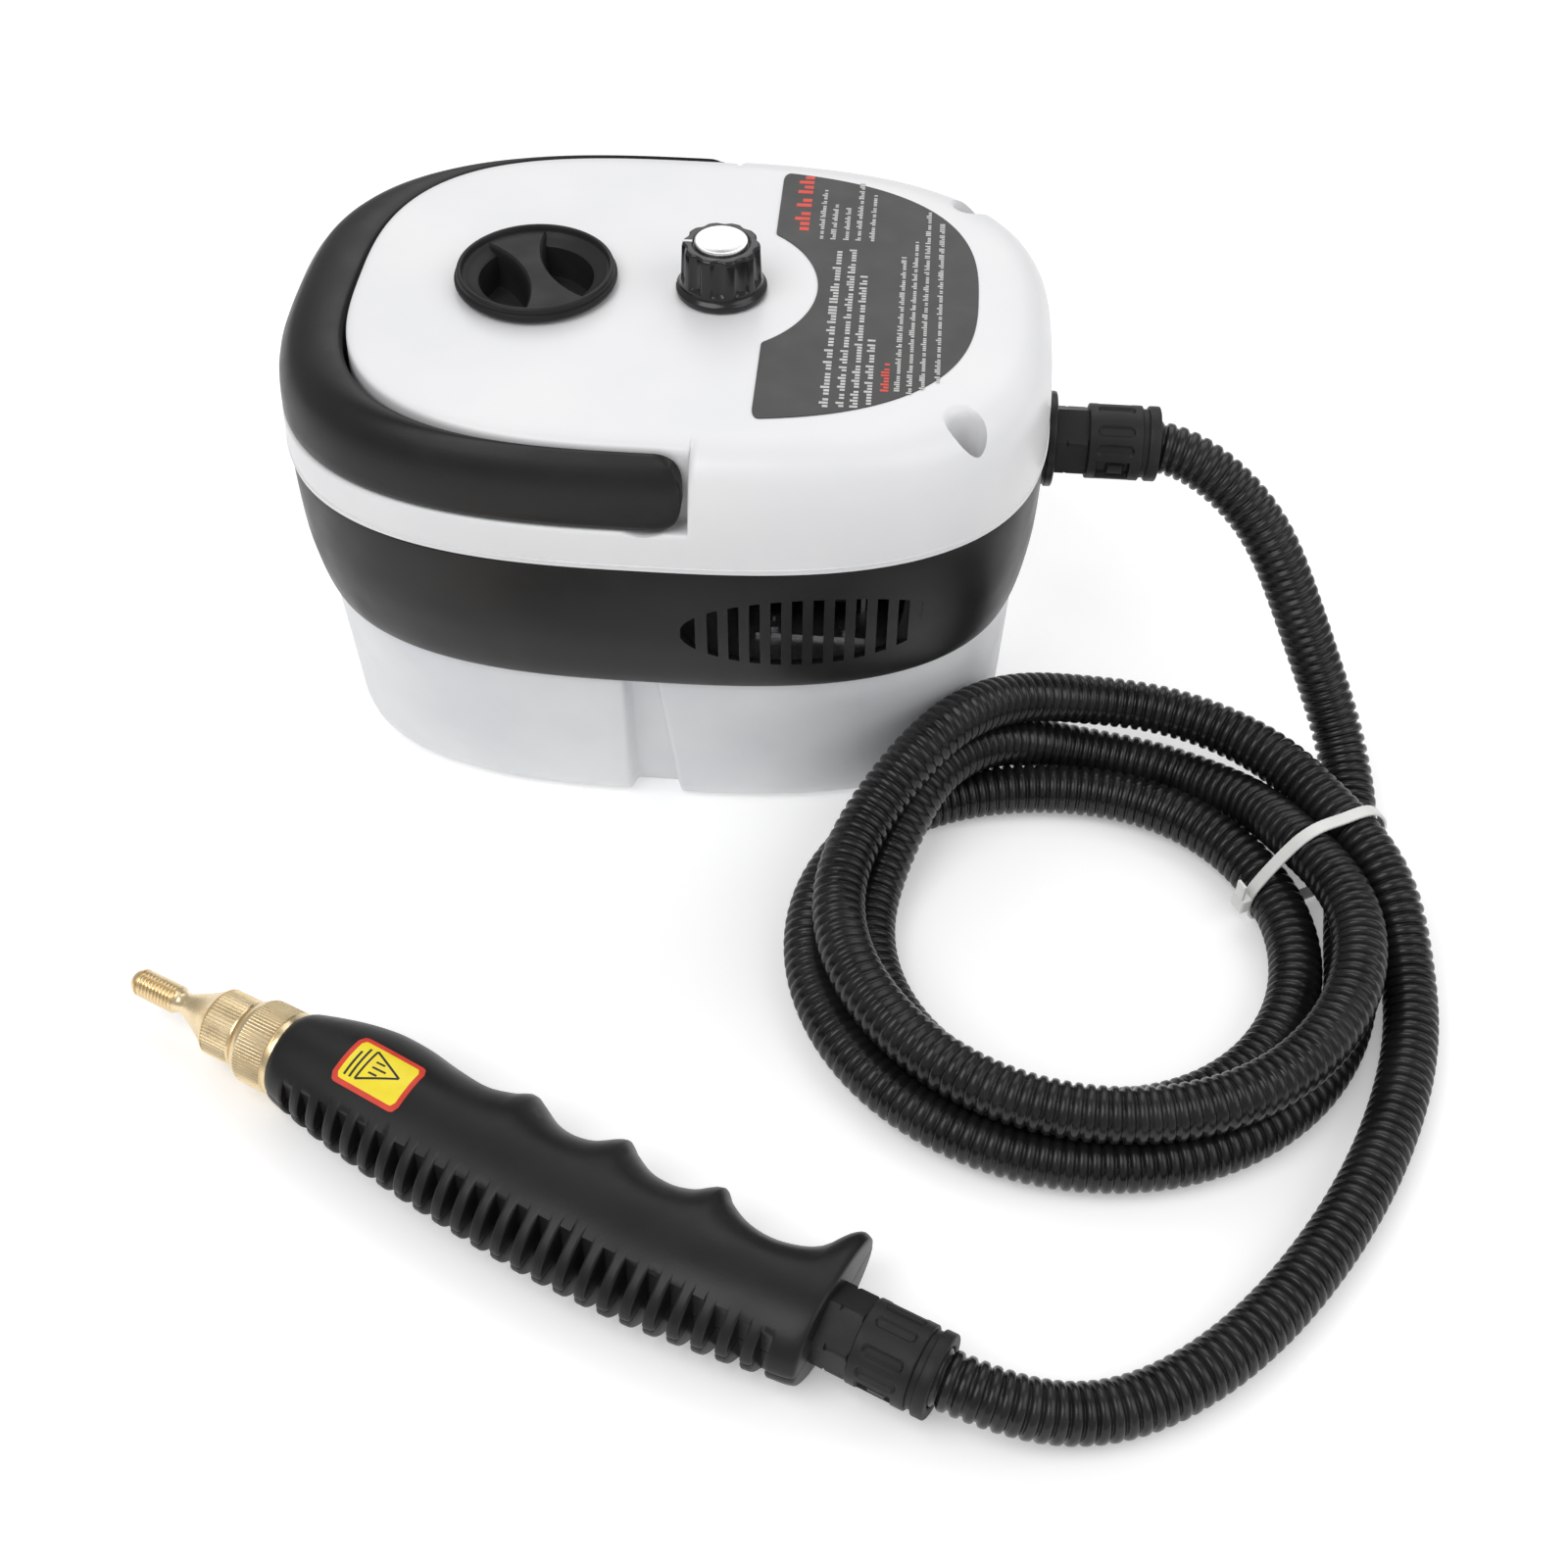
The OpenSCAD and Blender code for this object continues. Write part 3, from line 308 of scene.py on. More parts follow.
def plastic(name, base, other, rough=(0.35, 0.5), blotch=30, grain=900, bump=0.05,
            wear=None, **extra):
    """A moulded or machined finish: blotchy colour, uneven gloss, fine grain and rubbed edges."""
    material = bpy.data.materials.new(name)
    material.use_nodes = True
    nodes = material.node_tree.nodes
    links = material.node_tree.links
    shader = nodes["Principled BSDF"]
    for key, value in extra.items():
        shader.inputs[key.replace("_", " ")].default_value = value
    where = nodes.new("ShaderNodeTexCoord")

    def noise(scale, detail=3.0):
        node = nodes.new("ShaderNodeTexNoise")
        node.inputs["Scale"].default_value = scale
        node.inputs["Detail"].default_value = detail
        links.new(where.outputs["Object"], node.inputs["Vector"])
        return node.outputs["Fac"]

    def mapped(source, low, high, out_low, out_high):
        node = nodes.new("ShaderNodeMapRange")
        for key, value in zip(("From Min", "From Max", "To Min", "To Max"), (low, high, out_low, out_high)):
            node.inputs[key].default_value = value
        links.new(source, node.inputs["Value"])
        return node.outputs["Result"]

    def mixed(factor, first, second):
        node = nodes.new("ShaderNodeMix")
        node.data_type = "RGBA"
        links.new(factor, node.inputs["Factor"])
        for key, value in ((6, first), (7, second)):
            if isinstance(value, tuple):
                node.inputs[key].default_value = (*value, 1)
            else:
                links.new(value, node.inputs[key])
        return node.outputs[2]

    colour = mixed(mapped(noise(blotch), 0.35, 0.65, 0, 1), base, other)
    if wear:
        edge = nodes.new("ShaderNodeNewGeometry").outputs["Pointiness"]
        colour = mixed(mapped(edge, 0.56, 0.66, 0, 0.5), colour, wear)
    links.new(colour, shader.inputs["Base Color"])
    links.new(mapped(noise(blotch * 2.5, 5), 0.3, 0.7, rough[0], rough[1]), shader.inputs["Roughness"])
    relief = nodes.new("ShaderNodeBump")
    relief.inputs["Strength"].default_value = bump
    relief.inputs["Distance"].default_value = 0.0004
    links.new(noise(grain, 2), relief.inputs["Height"])
    links.new(relief.outputs["Normal"], shader.inputs["Normal"])
    return material


WHITE_ABS = plastic("white_abs", (0.80, 0.80, 0.81), (0.76, 0.765, 0.775), (0.30, 0.38), 18, 700, 0.02)
BLACK_ABS = plastic("black_abs", grey(0.01), (0.015, 0.0145, 0.014), (0.30, 0.42), 25, 1500, 0.08,
                    wear=grey(0.04), Specular_IOR_Level=0.25)
BLACK_MATTE = plastic("black_matte", grey(0.012), grey(0.018), (0.42, 0.55), 40, 1800, 0.12,
                      wear=grey(0.045), Specular_IOR_Level=0.25)
BLACK_GLOSS = plastic("black_gloss", grey(0.006), grey(0.01), (0.16, 0.26), 30, 900, 0.03)
TANK = plastic("tank_clear", (0.88, 0.89, 0.90), (0.80, 0.82, 0.85), (0.35, 0.5), 22, 500, 0.05,
               Transmission_Weight=0.12, IOR=1.45)
HOSE_BLACK = plastic("hose_black", grey(0.008), grey(0.016), (0.20, 0.30), 60, 1200, 0.06,
                     wear=grey(0.03), Specular_IOR_Level=0.35)
RUBBER = plastic("rubber", grey(0.02), grey(0.03), (0.6, 0.75), 50, 1400, 0.2)
SILICONE = plastic("silicone", (0.42, 0.10, 0.07), (0.50, 0.14, 0.10), (0.45, 0.6), 60, 900, 0.05)
STEEL = plastic("steel", (0.62, 0.62, 0.63), (0.52, 0.52, 0.54), (0.25, 0.4), 80, 2500, 0.08, Metallic=1.0)
ALUMINIUM = plastic("aluminium", (0.72, 0.72, 0.73), (0.62, 0.62, 0.64), (0.35, 0.5), 60, 1600, 0.15,
                    Metallic=1.0)
BRASS = plastic("brass", (0.86, 0.70, 0.45), (0.78, 0.62, 0.38), (0.22, 0.34), 90, 2200, 0.08, Metallic=1.0,
                wear=(0.97, 0.86, 0.62))
WHITE_NYLON = plastic("white_nylon", (0.78, 0.78, 0.76), (0.70, 0.70, 0.68), (0.35, 0.5), 60, 1500, 0.08)
GREY_PLASTIC = plastic("grey_plastic", (0.035, 0.035, 0.037), (0.05, 0.05, 0.052), (0.4, 0.55), 40, 1200,
                       0.1)
LABEL_FILM = plastic("label_film", (0.028, 0.028, 0.027), (0.034, 0.034, 0.033), (0.40, 0.48), 40, 2500,
                     0.05)
PRINT_WHITE = plastic("print_white", (0.60, 0.60, 0.58), (0.48, 0.48, 0.47), (0.45, 0.5), 300, 2500, 0.02)
PRINT_RED = plastic("print_red", (0.72, 0.05, 0.025), (0.62, 0.04, 0.02), (0.4, 0.45), 200, 2500, 0.02)
PRINT_YELLOW = plastic("print_yellow", (0.95, 0.78, 0.03), (0.90, 0.72, 0.03), (0.3, 0.36), 200, 2500, 0.02)
PRINT_BLACK = plastic("print_black", grey(0.015), grey(0.02), (0.4, 0.45), 200, 2500, 0.02)
WHITE_PAINT = plastic("white_paint", grey(0.85), grey(0.75), (0.4, 0.5), 300, 2500, 0.02)


def turned_metal():
    """Aluminium with the rings of the lathe, for the disc on the knob."""
    material = plastic("turned_metal", (0.86, 0.86, 0.87), (0.80, 0.80, 0.82), (0.22, 0.30), 120, 2000, 0.0,
                       Metallic=1.0, Anisotropic=0.85)
    nodes = material.node_tree.nodes
    links = material.node_tree.links
    tangent = nodes.new("ShaderNodeTangent")
    tangent.direction_type = "RADIAL"
    tangent.axis = "Z"
    links.new(tangent.outputs["Tangent"], nodes["Principled BSDF"].inputs["Tangent"])
    return material


TURNED = turned_metal()


def board_material():
    """Green circuit board below its parts, and dark parts above it."""
    material = plastic("circuit_board", (0.02, 0.16, 0.06), (0.03, 0.22, 0.08), (0.3, 0.4), 200, 1500, 0.05)
    nodes = material.node_tree.nodes
    links = material.node_tree.links
    shader = nodes["Principled BSDF"]
    green = shader.inputs["Base Color"].links[0].from_socket
    split = nodes.new("ShaderNodeSeparateXYZ")
    links.new(nodes["Texture Coordinate"].outputs["Object"], split.inputs["Vector"])
    above = nodes.new("ShaderNodeMath")
    above.operation = "GREATER_THAN"
    above.inputs[1].default_value = 0.15175
    links.new(split.outputs["Z"], above.inputs[0])
    mix = nodes.new("ShaderNodeMix")
    mix.data_type = "RGBA"
    links.new(above.outputs[0], mix.inputs["Factor"])
    links.new(green, mix.inputs[6])
    mix.inputs[7].default_value = (0.03, 0.03, 0.035, 1)
    links.new(mix.outputs[2], shader.inputs["Base Color"])
    return material


def dress(obj, material, body=MAIN, nodes=()):
    """Gives a new piece its finish and its body, and hides the CAD nodes it stands for."""
    obj.data.materials.clear()
    obj.data.materials.append(material)
    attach(obj, body)
    if nodes:
        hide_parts(*nodes)


# ---- steam hose ----

LEAD_ROUTE = [
    (167.4, 0, 118), (175.6, 0, 118), (187, -2.6, 115.4), (201, -8, 108), (213, -14, 98),
    (221, -19, 87),
    (229, -24.5, 72), (237, -30, 56), (244.5, -36.5, 41), (251, -45, 28.5), (255.5, -57, 18),
    (257.5, -72, 12), (256, -88, 9.5), (254.2, -103, 9.4),
    (252, -120, 9.4)]
TAIL_ROUTE = [
    gun_point(228), gun_point(237.5), (126, -321, 15), (140, -322.5, 12), (154, -321, 10),
    (168, -316.5, 9.4), (183, -308, 9.4), (198, -296, 9.4), (212, -281.5, 9.4), (225, -265, 9.4),
    (237, -247, 9.4), (248, -227, 9.4), (257, -206, 9.4), (264, -184, 9.4), (267.5, -163, 9.5),
    (267, -145, 13.8), (264, -128, 22.6), (258, -112, 27.2), (249.5, -96, 27.3), (240, -81, 27)]
# Turns of the coil as (degrees round its centre, radius, height)
COIL_STATIONS = [
    (2, 91.2, 9.4), (-12, 91, 9.4), (-45, 91, 9.4), (-90, 91.2, 9.4), (-120, 93.5, 9.4),
    (-142, 96, 9.4),
    (-161, 97.5, 9.4), (-178, 97.5, 9.4), (-195, 95, 9.4), (-210, 91, 9.4), (-225, 85.5, 9.4),
    (-240, 80, 9.4), (-255, 76, 9.4), (-270, 74, 9.4), (-315, 73, 9.4), (-330, 72.6, 9.4),
    (-344, 72.5, 9.4), (-360, 72.5, 9.4), (-405, 72.5, 9.4), (-450, 72.7, 9.4), (-495, 75, 9.4),
    (-540, 77, 9.4), (-555, 77, 12), (-570, 78, 20), (-585, 82, 28), (-600, 87, 27), (-615, 92, 19),
    (-630, 93, 11), (-645, 92.5, 10.5), (-660, 92, 11.5), (-675, 90, 17), (-690, 84.7, 24),
    (-704, 87.5, 27), (-720, 90.5, 27.9), (-765, 88, 27.8), (-810, 83.5, 26), (-855, 85, 26),
    (-885, 87.5, 26), (-900, 88, 26), (-915, 87, 29), (-930, 84, 37.5), (-945, 83, 46.5),
    (-960, 88, 45.5),
    (-975, 96, 38), (-990, 101.5, 30), (-1005, 104, 28.5), (-1020, 105, 28), (-1035, 104.5, 28)]
CORRUGATION = 4.0
# One corrugation as (share of the pitch, radius)
CORRUGATION_SHAPE = [(0.0, 8.0), (0.14, 8.05), (0.26, 8.9), (0.38, 9.2), (0.56, 9.25), (0.74, 9.2),
                     (0.86, 8.9)]


def coil_points():
    """The coil's centreline, filled in between its stations so that it stays round."""
    stations = np.array(COIL_STATIONS, dtype=float)
    angles = np.concatenate([np.linspace(a, b, 5)[:-1] for a, b in zip(stations[:-1, 0], stations[1:, 0])]
                            + [stations[-1:, 0]])
    path = dense(np.stack([stations[:, 0], stations[:, 1], stations[:, 2]], axis=1), 16)
    order = np.argsort(-path[:, 0], kind="stable")
    path = path[order]
    radius = np.interp(-angles, -path[:, 0], path[:, 1])
    height = np.interp(-angles, -path[:, 0], path[:, 2])
    turn = np.radians(angles)
    return np.stack([COIL_CENTRE[0] + radius * np.cos(turn),
                     COIL_CENTRE[1] + radius * np.sin(turn), height], axis=1)


def swept_frames(path):
    """Two unit normals at every point of a path, carried along without twist."""
    tangents = np.gradient(path, axis=0)
    tangents /= np.linalg.norm(tangents, axis=1)[:, None]
    side = np.cross(tangents[0], (0, 0, 1.0))
    side /= np.linalg.norm(side)
    sides = []
    for t in tangents:
        side = side - t * side.dot(t)
        side /= np.linalg.norm(side)
        sides.append(side)
    sides = np.array(sides)
    return sides, np.cross(tangents, sides)


def eased(path, reach, passes=2):
    """A moving average of evenly spaced points that keeps both ends where they are."""
    for _ in range(passes):
        before = path[0] + (path[0] - path[1]) * np.arange(reach, 0, -1)[:, None]
        after = path[-1] + (path[-1] - path[-2]) * np.arange(1, reach + 1)[:, None]
        longer = np.concatenate([before, path, after])
        total = np.cumsum(np.vstack([np.zeros(3), longer]), axis=0)
        width = 2 * reach + 1
        path = (total[width:] - total[:-width]) / width
    return path


def make_hose():
    knots = np.concatenate([np.array(LEAD_ROUTE), coil_points(), np.array(TAIL_ROUTE)[::-1]])
    centreline = dense(knots, 14)
    centreline = eased(resample(centreline, int(length_of(centreline) / 2)), 5)
    total = length_of(centreline)
    pitches = int(total / CORRUGATION)
    centreline = resample(centreline, pitches * 28 + 1)
    sides, ups = swept_frames(centreline)
    around = 26
    angles = np.arange(around) * 2 * math.pi / around
    rings = []
    for i in range(pitches):
        for share, radius in CORRUGATION_SHAPE:
            k = i * 28 + int(round(share * 28))
            spokes = np.cos(angles)[:, None] * sides[k] + np.sin(angles)[:, None] * ups[k]
            rings.append(centreline[k] + radius * spokes)
    hose = skin("steam_hose", rings, sharp=60)
    path = [tuple(p * MM) for p in centreline[::28]]
    return hose, path, total * MM


def tie_section(point, outward, along):
    """The strap's cross-section: a flat band with eased corners."""
    half_w = 2.3
    half_t = 0.6
    ease = 0.25
    corners = [(-half_w, -half_t + ease), (-half_w, half_t - ease), (-half_w + ease, half_t),
               (half_w - ease, half_t), (half_w, half_t - ease), (half_w, -half_t + ease),
               (half_w - ease, -half_t), (-half_w + ease, -half_t)]
    return [point + a * along + t * outward for a, t in corners]


def make_tie():
    """A nylon cable tie round the bundle of hose, with its head on the inner side."""
    inner = [(4.5, 9), (8, 1.2), (30, 1.1), (50, 1.2), (54.5, 4), (57, 20), (56.5, 29), (50, 36),
             (38, 36.8),
             (27, 36.5), (19, 32), (6.5, 16.5)]
    loop = resample(dense(inner, 10, closed=True), 161)[:-1]
    loop[:, 1] = np.maximum(loop[:, 1], 1.45)
    turn = math.radians(29)
    radial = np.array((math.cos(turn), math.sin(turn), 0))
    along = np.array((-math.sin(turn), math.cos(turn), 0))
    up = np.array((0, 0, 1.0))
    start = np.array((212.0, -122.0, 0))
    rings = []
    for i, (u, z) in enumerate(loop):
        before = loop[i - 1]
        after = loop[(i + 1) % len(loop)]
        du, dz = after - before
        size = math.hypot(du, dz)
        outward = (dz * radial - du * up) / size
        tooth = 0.12 if i % 2 else 0.0
        centre = start + u * radial + z * up + outward * (0.65 + tooth)
        rings.append(tie_section(centre, outward, along))
    rings = np.array(rings)
    strap = build("strap", rings.reshape(-1, 3), grid_faces(len(rings), 8, True), 40)
    head = prism("head", [(-1.0, -3.3), (3.6, -3.3), (3.6, 3.3), (-1.0, 3.3)], 8, 14)
    soften(head, 0.8)
    tail = prism("tail", [(-0.8, -2.2), (0.4, -2.2), (0.4, 2.2), (-0.8, 2.2)], 13, 21)
    soften(tail, 0.3)
    for piece in (head, tail):
        piece.data.transform(Matrix.Translation(Vector(start) * MM) @ Matrix.Rotation(turn, 4, "Z"))
    return join("hose_tie", [strap, head, tail])


hose, hose_path, hose_length = make_hose()
hose_tie = make_tie()
dress(hose, HOSE_BLACK, MAIN, ["hose_lead", "hose_coil", "hose_tail"])
dress(hose_tie, WHITE_NYLON, MAIN, ["cable_tie"])


# ---- top cover ----

def superellipse(a, b, t, n=OUTLINE_N):
    """Plan points of a rounded oval at the angles t."""
    c = np.cos(t)
    s = np.sin(t)
    return np.stack([a * np.sign(c) * np.abs(c) ** (2 / n), b * np.sign(s) * np.abs(s) ** (2 / n)], axis=1)


def half_turn_arc(a, b, cut_x, count, right):
    """The part of a superellipse on one side of x = cut_x, run anticlockwise."""
    edge = math.acos((cut_x / a) ** (OUTLINE_N / 2))
    t = np.linspace(-edge, edge, 3001) if right else np.linspace(edge, 2 * math.pi - edge, 5001)
    return resample(superellipse(a, b, t), count)


def full_outline(a, b, count):
    return resample(superellipse(a, b, np.linspace(0, 2 * math.pi, 8001)), count + 1)[:-1]


def outline_y(x, a, b):
    return b * np.clip(1 - np.abs(np.asarray(x) / a) ** OUTLINE_N, 0, 1) ** (1 / OUTLINE_N)


SHOULDER = dense(COVER_PROFILE, 10)


def shoulder_z(x, y):
    """Height of the cover's outer surface over a point of the plan."""
    inside = [np.abs(x / a) ** OUTLINE_N + np.abs(y / b) ** OUTLINE_N <= 1 for _, a, b in SHOULDER]
    reach = np.sum(inside, axis=0)
    fill = np.full_like(np.asarray(x, dtype=float), float(TOP_Z))
    low = np.clip(reach - 1, 0, len(SHOULDER) - 1)
    high = np.clip(reach, 0, len(SHOULDER) - 1)

    def over(index):
        z, a, b = SHOULDER[index].T
        return z, np.abs(x / a) ** OUTLINE_N + np.abs(y / b) ** OUTLINE_N

    z0, f0 = over(low)
    z1, f1 = over(high)
    share = np.where(f1 > f0, (1 - f0) / np.maximum(f1 - f0, 1e-9), 0)
    return np.minimum(z0 + (z1 - z0) * np.clip(share, 0, 1), fill)


# The left part's profile from the ledge's edge to the island's top. The last number is
# the depth below the shoulder surface where the height follows it, or None.
LEDGE_ROWS = [
    (144.4, 133.68, 99.08, None), (144.9, 133.5, 98.9, None), (145.25, 133.1, 98.5, None),
    (LEDGE_Z, 132.4, 97.9, None), (LEDGE_Z, 129, 96.6, None), (LEDGE_Z, 124, 95, None),
    (LEDGE_Z, 118, 93, None), (LEDGE_Z, 113, 91.2, None), (LEDGE_Z, 110.4, 90.3, None),
    (145.7, 109.4, 89.7, None), (146.5, 108.8, 89.3, None), (149, 108.65, 89.15, None),
    (153, 108.5, 89, None), (158, 108.35, 88.85, None), (163, 108.15, 88.7, None),
    (167, 108, 88.55, None), (168, 107.9, 88.45, 2.2), (168, 107.8, 88.35, 1.3),
    (168, 107.5, 88.05, 0.6), (168, 107, 87.55, 0.22), (168, 106.2, 86.8, 0.05),
    (168, 105, 85.6, 0.0), (168, 103.4, 83.8, 0.0), (168, 101.6, 81.8, 0.0), (168, 100, 80, 0.0)]


def left_heights(points, row):
    z, _, _, depth = row
    if depth is not None:
        return shoulder_z(points[:, 0], points[:, 1]) - depth
    heights = np.full(len(points), float(z))
    if z <= LEDGE_Z + 0.01:
        swing = 14.5
        reach = np.clip(swing**2 - (points[:, 0] - PIVOT[0]) ** 2, 0, None)
        heights = np.minimum(heights, PIVOT[1] - np.sqrt(reach))
        heights = np.where(z < LEDGE_Z, np.minimum(heights, z), heights)
    return heights


def wall_columns():
    """Places across the recess's end wall as (x, depth from the top edge, depth left to the ledge)."""
    top_r = 3.2
    low_r = 1.2
    columns = []
    for i in range(1, 8):
        angle = math.radians(90 * i / 7)
        columns.append((16 + top_r * (1 - math.sin(angle)), top_r * (1 - math.cos(angle)), None))
    for i in range(0, 6):
        angle = math.radians(90 * i / 5)
        columns.append((16 - low_r * (1 - math.cos(angle)), None, low_r * (1 - math.sin(angle))))
    return columns


def cover_ring(right_row, left_row, columns):
    """One closed ring of the cover: right part, end wall, left part, end wall."""
    z, a, b = right_row
    right = half_turn_arc(a, b, 19.2, 120, True)
    right = np.column_stack([right, np.full(len(right), z)])
    left = half_turn_arc(left_row[1], left_row[2], 14.8, 190, False)[1:-1]
    left = np.column_stack([left, left_heights(left, left_row)])
    wall = []
    for x, down, up in columns:
        outer = np.array((outline_y(x, a, b), z))
        inner_y = outline_y(x, left_row[1], left_row[2])
        inner_z = left_heights(np.array([(x, inner_y)]), left_row)[0]
        inner = np.array((inner_y, inner_z))
        reach = np.linalg.norm(outer - inner)
        shrink = min(1.0, reach / 5.0)
        if reach < 1e-6:
            share = 0.0
        elif down is not None:
            share = down * shrink / reach
        else:
            share = 1 - up * shrink / reach
        y, height = outer + (inner - outer) * share
        wall.append((x, y, height))
    back = np.array(wall)
    front = back[::-1] * np.array((1, -1, 1))
    return np.concatenate([right, back, left, front])


def well_cutter(side):
    """The round well over a cover screw; its upper edge is rolled over."""
    rows = [(150, 5.9), (150.4, 6.4), (169, 6.45), (170.5, 6.7), (171.4, 7.2), (172.1, 7.9),
            (172.6, 8.8),
            (172.9, 9.8), (174, 12)]
    return turned("well", rows, 64, (WELL[0], side * WELL[1]))


def thin_at_wells(cover):
    """Vertex weights that keep the wall from showing through where a well meets the side."""
    group = cover.vertex_groups.new(name="wall")
    for vertex in cover.data.vertices:
        x, y, z = vertex.co / MM
        reach = math.hypot(x - WELL[0], abs(y) - WELL[1])
        weight = (reach - 7) / 9 if z > 146 else 1
        group.add([vertex.index], min(max(weight, 0.06), 1), "REPLACE")


def make_top_cover():
    low_rows = [(130.25, 133.2, 98.7), (130.02, 133.6, 99.1), (130.15, 133.9, 99.4), (130.6, 134, 99.5)]
    low_rows += [tuple(r) for r in dense(COVER_PROFILE[:3], 6) if 131 < r[0] < 144]
    upper = np.array([r for r in SHOULDER if r[0] > 144.2 or r[1] < 120])
    upper = resample(upper[:, [1, 2, 0]], len(LEDGE_ROWS))[:, [2, 0, 1]]
    columns = wall_columns()
    rings = [cover_ring(r, (*r, None), columns) for r in low_rows]
    rings += [cover_ring(tuple(r), l, columns) for r, l in zip(upper, LEDGE_ROWS)]
    cover = skin("top_cover_shell", rings)
    for side in (-1, 1):
        cut(cover, well_cutter(side))
    open_ends(cover)
    fill_top(cover)
    thin_at_wells(cover)
    thicken(cover, 2.4, group="wall")
    return cover


def open_ends(obj):
    """Takes away the big caps that closed a skin while it was cut."""
    with edited(obj) as bm:
        caps = [f for f in bm.faces if len(f.verts) > 100]
        bmesh.ops.delete(bm, geom=caps, context="FACES_ONLY")


def fill_top(cover):
    """Closes the flat top, leaving the holes for the filler and the knob's shaft."""
    with edited(cover) as bm:
        edges = [e for e in bm.edges
                 if e.is_boundary and all(v.co.z > (TOP_Z - 0.3) * MM for v in e.verts)]
        for centre, radius, count in ((FILLER_X, 24.3, 96), (KNOB_X, 4.0, 32)):
            verts = [bm.verts.new(tuple(p * MM)) for p in ring(radius, count, TOP_Z, (centre, 0))]
            edges += [bm.edges.new((verts[i], verts[(i + 1) % count])) for i in range(count)]
        bmesh.ops.triangle_fill(bm, use_beauty=True, use_dissolve=False, edges=edges, normal=(0, 0, 1))
        bmesh.ops.recalc_face_normals(bm, faces=bm.faces)
        face_outwards(bm)


# ---- carry handle ----

HANDLE_SECTION = [
    (146.1, 131.9, 97.9), (146.7, 132.9, 98.6), (148, 133.3, 98.8), (151, 133.2, 98.6),
    (155, 132.9, 98.2),
    (159, 132.4, 97.7), (163, 131.3, 96.5), (166, 129.9, 95), (168.2, 128.2, 93.2), (169.6, 126.4, 92),
    (170.5, 123.8, 91.2), (170.95, 120.6, 90.8), (171.1, 117, 90.5), (171.05, 113.4, 90.3),
    (170.7, 111, 90.15), (170.1, 109.9, 90.03), (168.8, 109.5, 90), (164, 109.5, 90), (157, 109.5, 90),
    (150, 109.5, 90), (147.2, 109.6, 90.05), (146.3, 110.2, 90.4), (145.9, 111.6, 91.2),
    (145.9, 119, 93.6),
    (145.9, 127, 96.2), (145.92, 130.6, 97.3)]


def squeeze(x):
    """How much of the handle's height is left towards its rounded ends."""
    straight = 3.6
    radius = 9.0
    centre = 5.0
    if x <= centre:
        return 1.0
    return (straight + math.sqrt(max(radius**2 - (x - centre) ** 2, 0))) / (straight + radius)


def profile_at(z):
    return [np.interp(z, SHOULDER[:, 0], SHOULDER[:, k]) for k in (1, 2)]


def handle_column(x, inset, side):
    """One cross-section near an end of the handle, at a fixed x."""
    k = squeeze(x)
    points = []
    for z, a, b in HANDLE_SECTION:
        height = PIVOT[1] + (z - PIVOT[1]) * k
        outer_a, outer_b = profile_at(height)
        full_a, full_b = profile_at(z)
        share = min(max((b - 90) / (full_b - 90), 0), 1) if full_b > 91 else 0.0
        y = outline_y(x, a + (outer_a - full_a) * share, b + (outer_b - full_b) * share)
        points.append((x, y, height))
    points = np.array(points)
    middle = points[:, 1:].mean(axis=0)
    offset = points[:, 1:] - middle
    size = np.linalg.norm(offset, axis=1)[:, None]
    points[:, 1:] = middle + offset * np.clip(1 - inset / np.maximum(size, 0.1), 0.15, 1)
    points[:, 1] *= side
    return points


def make_handle():
    straight_x = 4.0
    count = 260
    arcs = [half_turn_arc(a, b, straight_x, count, False) for _, a, b in HANDLE_SECTION]
    middle = [[(*arc[i], row[0]) for arc, row in zip(arcs, HANDLE_SECTION)] for i in range(count)]
    ends = [(5, 0), (6.5, 0), (8, 0), (9.4, 0), (10.6, 0), (11.6, 0.05), (12.4, 0.25), (13.1, 0.65),
            (13.6, 1.15),
            (13.9, 1.8), (14.0, 2.6)]
    back = [handle_column(x, inset, 1) for x, inset in reversed(ends)]
    front = [handle_column(x, inset, -1) for x, inset in ends]
    return skin("carry_handle_bow", np.array([*back, *middle, *front]), sharp=50)


# ---- band, tank ----

def vent_outline(x0, x1):
    """A slot of the vent; its ends follow the vent's lens outline."""
    xs = np.linspace(x0, x1, 7)
    half = 15.5 * np.sqrt(np.clip(1 - ((xs - 55) / 43) ** 2, 0, 1))
    upper = [(x, 103 + h) for x, h in zip(xs, half)]
    lower = [(x, 103 - h) for x, h in zip(xs[::-1], half[::-1])]
    return upper + [p for p in lower if p not in upper]


def make_band():
    rows = dense(BAND_PROFILE, 3)
    rings = [np.column_stack([full_outline(a, b, 260), np.full(260, z)]) for z, a, b in rows]
    band = skin("mid_band_shell", rings, False, False)
    thicken(band, 2.6)
    spans = [(12.4, 17.4), (92.6, 97.6)]
    spans += [(55 + i * 7.06 - 1.8, 55 + i * 7.06 + 1.8) for i in np.arange(-4.5, 5)]
    for x0, x1 in spans:
        outline = vent_outline(x0, x1)
        cutter = skin("slot", [[(x, y, z) for x, z in outline] for y in (-106, -84)])
        cut(band, cutter)
    hole = turned("hole", [(-20, 9.1), (20, 9.1)], 48)
    lay_along(hole, (134, 0, 118), 0)
    cut(band, hole)
    return band


